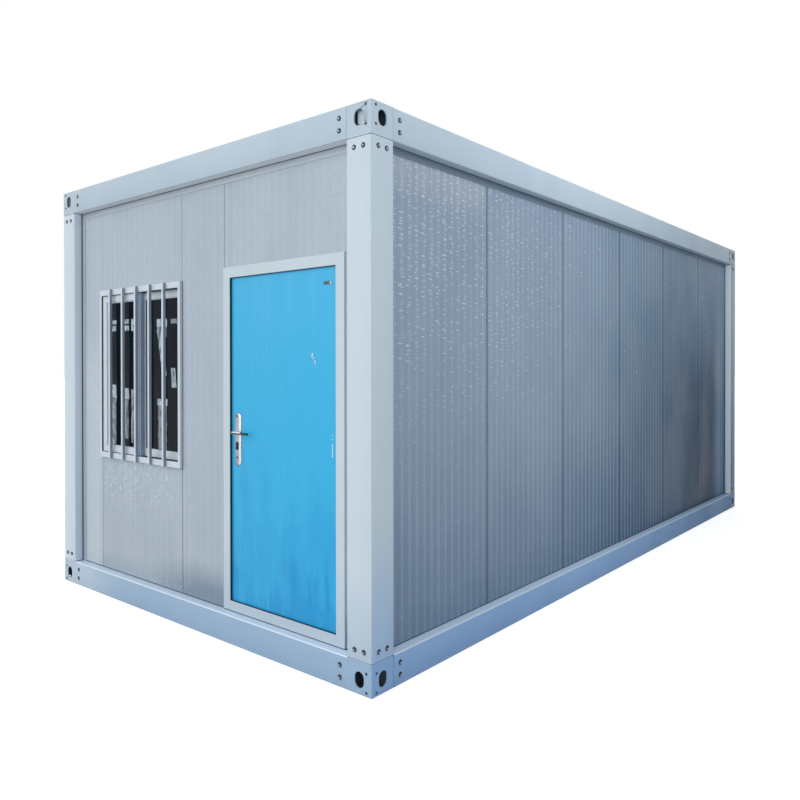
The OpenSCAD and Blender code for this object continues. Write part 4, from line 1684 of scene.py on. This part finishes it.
@dataclass
class SlidingWindow:
    """White window with two sliding sashes behind five square bars."""

    nodes: dict[str, Object]
    bar_xs: tuple[float, ...] = (-0.905, -0.745, -0.585, -0.425, -0.265)
    bar: float = 19 * MM
    bar_wall: float = 1.5 * MM
    side: float = 24 * MM
    rail: float = 38 * MM
    step: float = 3.5 * MM
    step_in: Span = (3 * MM, 4 * MM)
    sealant: float = 2.4 * MM
    sealant_depth: Span = (1.6 * MM, 2 * MM)
    mitre: Edging = Edging(1.8 * MM, 2)
    stile: float = 50 * MM
    sash_rail: float = 45 * MM
    bead: float = 7 * MM
    bead_set: float = 5 * MM
    bead_edge: Edging = Edging(1.2 * MM)
    gasket: float = 3 * MM
    bar_fold: float = 1.6 * MM
    shaded_bar_side: float = 0.7

    def build(self) -> None:
        """Builds the window."""
        self._frame()
        self._sash("window_sash_left")
        self._sash("window_sash_right")
        dress(self.nodes["window_glass"], Look.GLASS)
        self._bars()

    def _frame(self) -> None:
        """Builds the mitred frame with its inner step and the bead of sealant round it; step and sealant are
        dark and also stand in for the shade lines round the frame.
        """
        low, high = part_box("window_frame")
        x0, x1, z0, z1 = low.x + self.side, high.x - self.side, low.z + self.rail, high.z - self.rail
        outer = [(low.x, low.z), (high.x, low.z), (high.x, high.z), (low.x, high.z)]
        inner = [(x0, z0), (x1, z0), (x1, z1), (x0, z1)]
        shape = Shaper()
        for i in range(4):
            j = (i + 1) % 4
            points = [(x, low.y, z) for x, z in (outer[i], outer[j], inner[j], inner[i])]
            shape.prism(points, (0, high.y - low.y, 0), self.mitre)
        wide, face = self.sealant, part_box("front_wall_middle")[0].y
        out, back = self.sealant_depth
        start = low.x - wide, face - out, low.z - wide
        shape.hoop(start, (high.x + wide, face + back, high.z + wide), wide, SECOND)
        near, far = low.y + self.step_in[0], high.y - self.step_in[1]
        shape.hoop((x0, near, z0), (x1, far, z1), self.step, SECOND)
        looks = [Look.PLASTIC, Look.SEAL_AND_GAP_SHADE]
        shape.settle("window_frame_profile", looks, node="window_frame")

    def _sash(self, name: str) -> None:
        """Builds a sash with its glazing beads and gasket; the left sash's meeting stile carries painted
        shade.

        Args:
            name: Name of the node.
        """
        low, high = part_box(name)
        x0, x1 = low.x + self.stile, high.x - self.stile
        z0, z1 = low.z + self.sash_rail, high.z - self.sash_rail
        # Painted shade on the left sash's meeting stile.
        dull = 2 * (name == "window_sash_left")
        shape = Shaper()
        shape.block(low, (x0, high.y, high.z), EASED)
        shape.block((x1, low.y, low.z), high, replace(EASED, finish=dull))
        for a, b in ((low.z, z0), (z1, high.z)):
            shape.block((x0, low.y, a), (x1, high.y, b), EASED)
        bead = 0.0, self.bead_set, self.bead, self.bead_edge
        gasket = self.bead, self.bead_set + self.gasket, self.gasket, SECOND
        for inset, depth, width, edging in (bead, gasket):
            start = x0 + inset, low.y + depth, z0 + inset
            shape.hoop(start, (x1 - inset, high.y - depth, z1 - inset), width, edging)
        looks = [Look.PLASTIC, Look.SEAL_AND_GAP_SHADE, Look.SHADED_MEETING_STILE]
        shape.settle(f"{name}_profile", looks, node=name)

    def _bars(self) -> None:
        """Builds the five hollow bars across the frame, with painted shade on the sides that look to the
        right.
        """
        low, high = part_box("window_frame")
        y0, y1 = low.y - self.bar, low.y
        looks = [Look.BARS, Look.SHADED_BAR_SIDE]
        for i, x in enumerate(self.bar_xs):
            rings = []
            for t in (0.0, self.bar_wall):
                x0, x1 = x + t - self.bar / 2, x - t + self.bar / 2
                line = (x0, y0 + t), (x1, y0 + t), (x1, y1 - t), (x0, y1 - t)
                rings.append([(*place, low.z) for place in line])
            shape = Shaper()
            shape.tube(rings, self.bar_fold, (0, 0, high.z - low.z))
            # Painted shade on the faces that look to the right.
            shape.paint(lambda face: int(face.normal.x > self.shaded_bar_side))
            shape.settle(f"window_bar_{i + 1}", looks, smooth=35)


@dataclass
class EntranceDoor:
    """Recessed steel door: frame, seal, leaf with film scraps and plate, handle set."""

    nodes: dict[str, Object]
    face: float = 60 * MM
    lip: float = 10 * MM
    foot: float = 5 * MM
    edge: float = 2 * MM
    leaf_fold: float = 2.5 * MM
    frame_narrowest: float = 6 * MM
    leaf_narrowest: float = 20 * MM
    leaf_shortest: float = 0.5
    seal: float = 1.6 * MM
    seal_depth: Span = (3 * MM, 4.4 * MM)
    foot_depth: Span = (4 * MM, 20 * MM)
    film_base: float = 0.1
    blank_x: float = 1.148
    blank_z: float = 1.974
    plate_w: float = 57 * MM
    plate_h: float = 300 * MM
    plate_t: float = 8 * MM
    plate_corner: float = 26 * MM
    corner_angles: tuple[int, ...] = (0, 15, 30, 45, 60, 75, 90)
    crown: tuple[Span, ...] = ((0.0, 0.0), (2.6, 0.0), (3.8, 1.4), (7.8, 13.0), (8.0, 15.0))
    rim_face: float = 0.1
    ridge_face: float = 0.2
    ridge_end: float = 0.35
    screws_up: Span = (-103 * MM, 132 * MM)
    screw_aside: float = 2 * MM
    screw_steps: int = 12
    collar_steps: int = 24
    lock_steps: int = 20
    lock_w: float = 20 * MM
    lock_ups: Span = (-66 * MM, -87 * MM)
    lock_web: float = 6 * MM
    lock_out: float = 1.6 * MM
    lever_x: float = 0.430
    lever_z: float = 1.180
    lever_l: float = 125 * MM
    lever_bright: float = 70 * MM
    lever_top: float = 0.3
    spindle: float = 4 * MM

    def build(self) -> None:
        """Builds the door."""
        self._frame()
        self._seal()
        self._leaf()
        self._scraps()
        self._plates()
        self._levers()
        dress(self.nodes["door_hinges_frame"], Look.HINGE)
        dress(self.nodes["door_hinges_leaf"], Look.HINGE)

    @staticmethod
    def _faces() -> tuple[Span, Span]:
        """Place of the leaf's outer and inner face, each with its outward direction along Y."""
        low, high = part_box("door_leaf")
        return (low.y, -1.0), (high.y, 1.0)

    def _frame(self) -> None:
        """Builds the frame from its node, lifted at its foot by the seal's height."""
        shape = Shaper(self.nodes["door_frame"])
        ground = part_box("door_frame")[0].z + MM
        for vert in shape.bm.verts:
            if vert.co.z < ground:
                vert.co.z += self.foot
        shape.round_folds(self.edge, narrowest=self.frame_narrowest)
        shape.settle("door_frame_steel", [Look.DOOR_FRAME], node="door_frame")

    def _seal(self) -> None:
        """Builds the dark seal round the opening and under the frame, which also stands in for the shade in
        those gaps.
        """
        low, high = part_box("door_frame")
        (near, far), (front, back) = self.seal_depth, self.foot_depth
        start = low.x + self.face, low.y + near, low.z + self.face
        end = high.x - self.face, low.y + self.lip + far, high.z - self.face
        shape = Shaper()
        shape.hoop(start, end, self.seal)
        shape.block((low.x, low.y + front, low.z), (high.x, low.y + back, low.z + self.foot))
        shape.settle("door_seal", [Look.SEAL_AND_GAP_SHADE])

    def _leaf(self) -> None:
        """Builds the leaf with its folded edges, and its blank plate."""
        shape = Shaper(self.nodes["door_leaf"])
        shape.round_folds(self.leaf_fold, shape.fold_steps, self.leaf_narrowest, self.leaf_shortest)
        shape.settle("door_leaf_steel", [Look.DOOR], Body.DOOR, "door_leaf")
        middle = Vector((self.blank_x, self._faces()[0][0], self.blank_z))
        plate = Shaper()
        for start, end, edging in (
            ((-0.030, -1.4 * MM, -0.009), (0.030, 0, 0.009), Edging(1.0 * MM, 2)),
            ((0.016, -1.9 * MM, -0.006), (0.027, -1.0 * MM, 0.006), Edging(0.4 * MM, 1, 1)),
        ):
            plate.block(middle + Vector(start), middle + Vector(end), edging)
        plate.settle("door_blank_plate", [Look.PLATE, Look.FILM], Body.DOOR)

    def _scraps(self) -> None:
        """Builds the torn scraps of film on the leaf."""
        face = self._faces()[0][0]
        outline = (-0.5, -0.5), (0.5, -0.42), (0.42, 0.1), (0.5, 0.5), (-0.3, 0.46), (-0.5, 0.0)
        shape = Shaper()
        for x, z, w, h, lean, lift in (
            (1.036, 1.611, 0.009, 0.022, -0.35, 2.0),
            (1.046, 1.595, 0.013, 0.006, 0.2, 3.0),
            (1.056, 1.574, 0.006, 0.022, 0.05, 2.4),
            (1.180, 1.131, 0.005, 0.070, 0.0, 1.2),
            (1.181, 1.188, 0.005, 0.008, 0.1, 1.2),
            (1.180, 1.207, 0.005, 0.006, 0.0, 1.2),
        ):
            turn = Matrix.Rotation(lean, 2)
            spots = [turn @ Vector((a * w, b * h)) for a, b in outline]
            points = [(x + spot.x, face - lift * MM, z + spot.y) for spot in spots]
            shape.prism(points, (0, (lift - self.film_base) * MM, 0))
        shape.settle("door_film_scraps", [Look.FILM], Body.DOOR)

    def _plates(self) -> None:
        """Builds both handle plates with their screws, collars and lock cylinders."""
        low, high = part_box("door_handle_plates")
        middle = (low.z + high.z) / 2
        r = self.lock_w / 2
        screw = (6.5 * MM, 0), (6.5 * MM, 0.7 * MM), (4.6 * MM, 1.6 * MM), (0, 1.8 * MM)
        ring = (15 * MM, -0.5 * MM), (15 * MM, 2.0 * MM), (13 * MM, 3.2 * MM), (10.6 * MM, 3.4 * MM)
        rim = [(r + 3 * MM, -0.4 * MM), (r + 3 * MM, 1.2 * MM), (r + 2 * MM, 2.0 * MM), (r, 2.0 * MM)]
        rim += [(r, 2.6 * MM), (r - 1.5 * MM, 3 * MM), (0, 3 * MM)]
        shape = Shaper()
        for leaf, out in self._faces():
            self._plate(shape, leaf, out, middle)
            face, axis = leaf + out * self.plate_t, (0, out, 0)
            for up in self.screws_up:
                place = self.lever_x - self.screw_aside, face, middle + up
                shape.turned(screw, place, axis, self.screw_steps, finish=1)
            shape.turned(ring, (self.lever_x, face, self.lever_z), axis, self.collar_steps)
            for up in self.lock_ups:
                place = self.lever_x, face, self.lever_z + up
                shape.turned(rim, place, axis, self.lock_steps, finish=1)
            web, top = self.lock_web, self.lever_z + self.lock_ups[0]
            start = self.lever_x - web, face, top - self.lock_w
            shape.block(start, (self.lever_x + web, face + out * self.lock_out, top), SECOND)
        looks = [Look.HANDLE, Look.DARK_STEEL_AND_RIM_SHADE, Look.PAINTED_HIGHLIGHT]
        node = "door_handle_plates"
        shape.settle(f"{node}_steel", looks, Body.DOOR, node, smooth=32)

    def _plate(self, shape: Shaper, face: float, out: float, middle: float) -> None:
        """Adds one crowned plate with rounded ends, painted shade on its rim and a painted highlight on the
        facets that look to the right.

        Args:
            shape: Where it is added.
            face: Place of the leaf's face.
            out: -1 for the outside, 1 for the inside.
            middle: Height of its middle.
        """
        half_w, half_h, corner = self.plate_w / 2, self.plate_h / 2, self.plate_corner
        outline = []
        for sx, sz, start in ((1, 1, 0), (-1, 1, 90), (-1, -1, 180), (1, -1, 270)):
            for angle in (math.radians(start + turn) for turn in self.corner_angles):
                x = sx * (half_w - corner) + corner * math.cos(angle)
                outline.append((x, sz * (half_h - corner) + corner * math.sin(angle)))
        new_vert, new_edge, new_face = shape.bm.verts.new, shape.bm.edges.new, shape.bm.faces.new
        rings = []
        for lift, inset in self.crown:
            wide, tall = 1 - inset * MM / half_w, 1 - inset * MM / half_h
            y = face + out * lift * MM
            rings.append([new_vert((self.lever_x + x * wide, y, middle + z * tall)) for x, z in outline])
        edges = [[new_edge(pair) for pair in zip(ring, ring[1:] + ring[:1])] for ring in rings]
        for first, second in zip(edges, edges[1:]):
            bmesh.ops.bridge_loops(shape.bm, edges=first + second)
        caps = [new_face(rings[0]), new_face(rings[-1])]
        faces = once([*(f for ring in rings for v in ring for f in v.link_faces), *caps])
        bmesh.ops.recalc_face_normals(shape.bm, faces=faces)
        for item in faces:
            # Painted shade on the rim faces, painted highlight on the right-facing ridge facets.
            ridge = item.normal.x > self.ridge_face and abs(item.normal.z) < self.ridge_end
            item.material_index = 1 if abs(item.normal.y) < self.rim_face else 2 * ridge

    def _levers(self) -> None:
        """Builds both levers with their necks, and the spindle between them; the levers' dark colour is
        painted shade, with a painted highlight on top.
        """
        end = self.lever_l / MM
        path = [
            (0, 9, 0, 8.8, 8.8),
            (0, 24, 0, 8.8, 8.8),
            (0, 36, 0, 8.8, 8.8),
            (2.5, 42, 0, 8.6, 8.4),
            (9, 45.4, 0.4, 7.4, 8.0),
            (20, 46, 0.8, 6.5, 7.6),
            (45, 46, 1.5, 6.5, 7.6),
            (75, 46, 0.2, 5.6, 7.2),
            (100, 45, -1.2, 5.2, 6.8),
            (end - 13, 43.5, -1.8, 5.2, 6.4),
            (end - 7, 38, -2, 5.0, 6.2),
            (end - 6.5, 28, -2, 4.0, 5.4),
        ]
        shape = Shaper()
        x, z = self.lever_x, self.lever_z
        for face, out in self._faces():
            rail = [(x + a * MM, face + out * b * MM, z + c * MM) for a, b, c, *_ in path]
            shape.swept(rail, [(half_w * MM, half_h * MM) for *_, half_w, half_h in path])
        (outer, _), (inner, _) = self._faces()
        start = x - self.spindle, outer - self.plate_t, z - self.spindle
        shape.block(start, (x + self.spindle, inner + self.plate_t, z + self.spindle))
        bright, top = x + self.lever_bright, self.lever_top
        # Painted highlight on the upper faces of the levers' near part.
        shape.paint(lambda face: int(face.normal.z > top and face.calc_center_median().x < bright))
        looks = [Look.LEVER, Look.PAINTED_HIGHLIGHT]
        shape.settle("door_lever_steel", looks, Body.LEVER, "door_lever", smooth=50)


@dataclass
class RoofAndFloor:
    """Roof sheet with its screws, and the boards, joists and purlins that stay as packed."""

    nodes: dict[str, Object]
    rows: int = 7
    columns: int = 12
    screw_gap: float = 0.24
    screw_r: float = 7 * MM
    screw_steps: int = 6
    head_r: float = 4 * MM
    sheet: float = 0.6 * MM
    inset: float = 25 * MM

    def build(self) -> None:
        """Dresses the nodes and adds the roof screws."""
        for name, slot, look in (
            ("floor_joists", Slot.STEEL, Look.GALVANISED),
            ("roof_purlins", Slot.STEEL, Look.GALVANISED),
            ("floor_board", Slot.FLOOR, Look.FLOOR),
            ("ceiling_board", Slot.CEILING, Look.CEILING),
            ("roof_sheet", Slot.ROOF, Look.ROOF),
        ):
            dress(self.nodes[name], look)
        self._screws()

    def _screws(self) -> None:
        """Adds a row of screws over each purlin, in the valleys beside the ribs."""
        first, last = (place.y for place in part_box("roof_purlins"))
        step = (last - first - 2 * self.inset) / (self.rows - 1)
        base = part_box("roof_sheet")[0].z + self.sheet
        profile = [(self.screw_r, -0.5 * MM), (self.screw_r, 1.2 * MM)]
        profile += [(self.head_r, 1.4 * MM), (self.head_r, 5 * MM), (0, 5.4 * MM)]
        shape = Shaper()
        for i, j in product(range(self.rows), range(self.columns)):
            x = (j - (self.columns - 1) / 2) * self.screw_gap
            place = x, first + self.inset + i * step, base
            shape.turned(profile, place, (0, 0, 1), self.screw_steps)
        shape.settle("roof_screws", [Look.ZINC], smooth=40)


# ---- Studio ----


@dataclass(frozen=True)
class Lamp:
    """A lamp: its place, what it points to, its power, and a panel's or a sun's size."""

    name: str
    kind: str
    at: Point
    to: Point
    power: float
    size: float
    colour: Point = (1.0, 1.0, 1.0)

    def build(self) -> None:
        """Puts the lamp in the scene; a sun's size is its angle in degrees."""
        lamp = bpy.data.lights.new(self.name, self.kind)
        lamp.energy = self.power
        lamp.color = self.colour
        if self.kind == "SUN":
            lamp.angle = math.radians(self.size)
        else:
            lamp.size = self.size
        holder = bpy.data.objects.new(self.name, lamp)
        holder.location = self.at
        holder.rotation_euler = (Vector(self.to) - Vector(self.at)).to_track_quat("-Z", "Y").to_euler()
        holder.visible_camera = False
        bpy.context.scene.collection.objects.link(holder)


@dataclass
class Studio:
    """Floor, light and camera."""

    ambient: float = 0.05
    glows: tuple[tuple[Point, float], ...] = (
        ((-1.0, 0.0, 0.0), 0.42),
        ((0.0, 0.0, 1.0), 0.63),
        ((-0.6, 0.8, 0.0), 0.5),
    )
    lamps: tuple[Lamp, ...] = (
        Lamp("key_light", "SUN", (-3.6, -6.4, 3.2), (0, 0, 0), 1.50, 60.0),
        Lamp("fill_light", "SUN", (2.4, -7.52, 1.2), (0, 0, 0), 0.62, 50.0),
        Lamp("front_light", "AREA", (3.6, -5.2, 2.2), (-1.0, -2.9, 1.4), 16.0, 1.8),
        Lamp("side_light", "AREA", (4.5, -1.2, 4.2), (1.44, -0.6, 1.6), 58.0, 1.8, (0.86, 0.93, 1.0)),
    )
    ground: tuple[float, ...] = (0.40, 0.42, 0.45, 1.0)
    floor_glow: float = 0.62
    floor_grey: float = 0.75
    floor_radius: float = 90.0
    floor_steps: int = 96
    camera_at: Point = (3.771, -5.494, 1.565)
    azimuth: float = 39.31
    elevation: float = -0.31
    roll: float = 0.05
    lens: float = 32.78
    sensor: float = 36.0
    sight: float = 500.0
    shift: Span = (-0.0076, -0.04)

    def build(self) -> None:
        """Builds the studio."""
        self._floor()
        self._world()
        for lamp in self.lamps:
            lamp.build()
        self._camera()

    @staticmethod
    def _seen(n: Nodes, plain: Node, shown: Node) -> NodeSocket:
        """Mixes a shader for rays that gather light with one for rays that show the surroundings.

        Args:
            n: Helper for the tree.
            plain: Shader for the rays that gather light.
            shown: Shader for the other rays.

        Returns:
            The mixed shader.
        """
        path = n.add("LightPath").outputs
        direct = n.most(path["Is Camera Ray"], path["Is Glossy Ray"])
        share = n.most(direct, path["Is Transmission Ray"])
        return n.add("MixShader", share, plain.outputs[0], shown.outputs[0]).outputs[0]

    def _floor(self) -> None:
        """Builds the pale floor, which keeps a soft shadow."""
        shape = bmesh.new()
        circle = {"radius": self.floor_radius, "segments": self.floor_steps}
        bmesh.ops.create_circle(shape, cap_ends=True, **circle)
        mesh = bpy.data.meshes.new("studio_floor")
        shape.to_mesh(mesh)
        shape.free()
        floor = bpy.data.objects.new("studio_floor", mesh)
        bpy.context.scene.collection.objects.link(floor)
        floor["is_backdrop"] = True
        material = bpy.data.materials.new("floor_white")
        material.use_nodes = True
        material.node_tree.nodes.clear()
        n = Nodes(material.node_tree)
        glow = n.add("Emission", tone(0xFFFFFF), self.floor_glow)
        white = n.add("BsdfDiffuse", (*[self.floor_grey] * 3, 1.0))
        both = n.add("AddShader", glow.outputs[0], white.outputs[0])
        n.add("OutputMaterial", self._seen(n, n.add("BsdfDiffuse", self.ground), both))
        mesh.materials.append(material)

    def _world(self) -> None:
        """Builds a soft sky light, brighter from the left and above, behind a white backdrop."""
        world = bpy.data.worlds.new("studio")
        bpy.context.scene.world = world
        world.use_nodes = True
        world.node_tree.nodes.clear()
        n = Nodes(world.node_tree)
        direction = n.add("TexCoord").outputs["Generated"]
        strength: object = self.ambient
        for toward, share in self.glows:
            facing = n.add("VectorMath", direction, toward, operation="DOT_PRODUCT").outputs["Value"]
            strength = n.scaled(n.most(facing, 0.0), share, strength)
        light = n.add("Background", tone(0xFFFFFF), strength)
        n.add("OutputWorld", self._seen(n, light, n.add("Background", tone(0xFFFFFF), 1.0)))

    def _camera(self) -> None:
        """Builds the camera."""
        data = bpy.data.cameras.new("camera")
        data.sensor_width = self.sensor
        data.lens = self.lens
        data.shift_x, data.shift_y = self.shift
        data.clip_end = self.sight
        camera = bpy.data.objects.new("camera", data)
        camera.location = self.camera_at
        turn, tilt = math.radians(self.azimuth), math.radians(self.elevation)
        ahead = Vector((-math.sin(turn) * math.cos(tilt), math.cos(turn) * math.cos(tilt), math.sin(tilt)))
        level = ahead.to_track_quat("-Z", "Y").to_matrix()
        camera.rotation_euler = (Matrix.Rotation(math.radians(self.roll), 3, ahead) @ level).to_euler()
        bpy.context.scene.collection.objects.link(camera)
        bpy.context.scene.camera = camera


def main() -> None:
    """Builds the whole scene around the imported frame."""
    logging.basicConfig(level=logging.INFO, format="%(message)s")
    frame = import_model()
    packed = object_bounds()
    nodes = frame["nodes"]
    bpy.context.scene.view_settings.view_transform = "Standard"
    Studio().build()
    SteelFrame(nodes, *packed).build()
    Walls(nodes).build()
    SlidingWindow(nodes).build()
    EntranceDoor(nodes).build()
    RoofAndFloor(nodes).build()


if __name__ == "__main__":
    main()
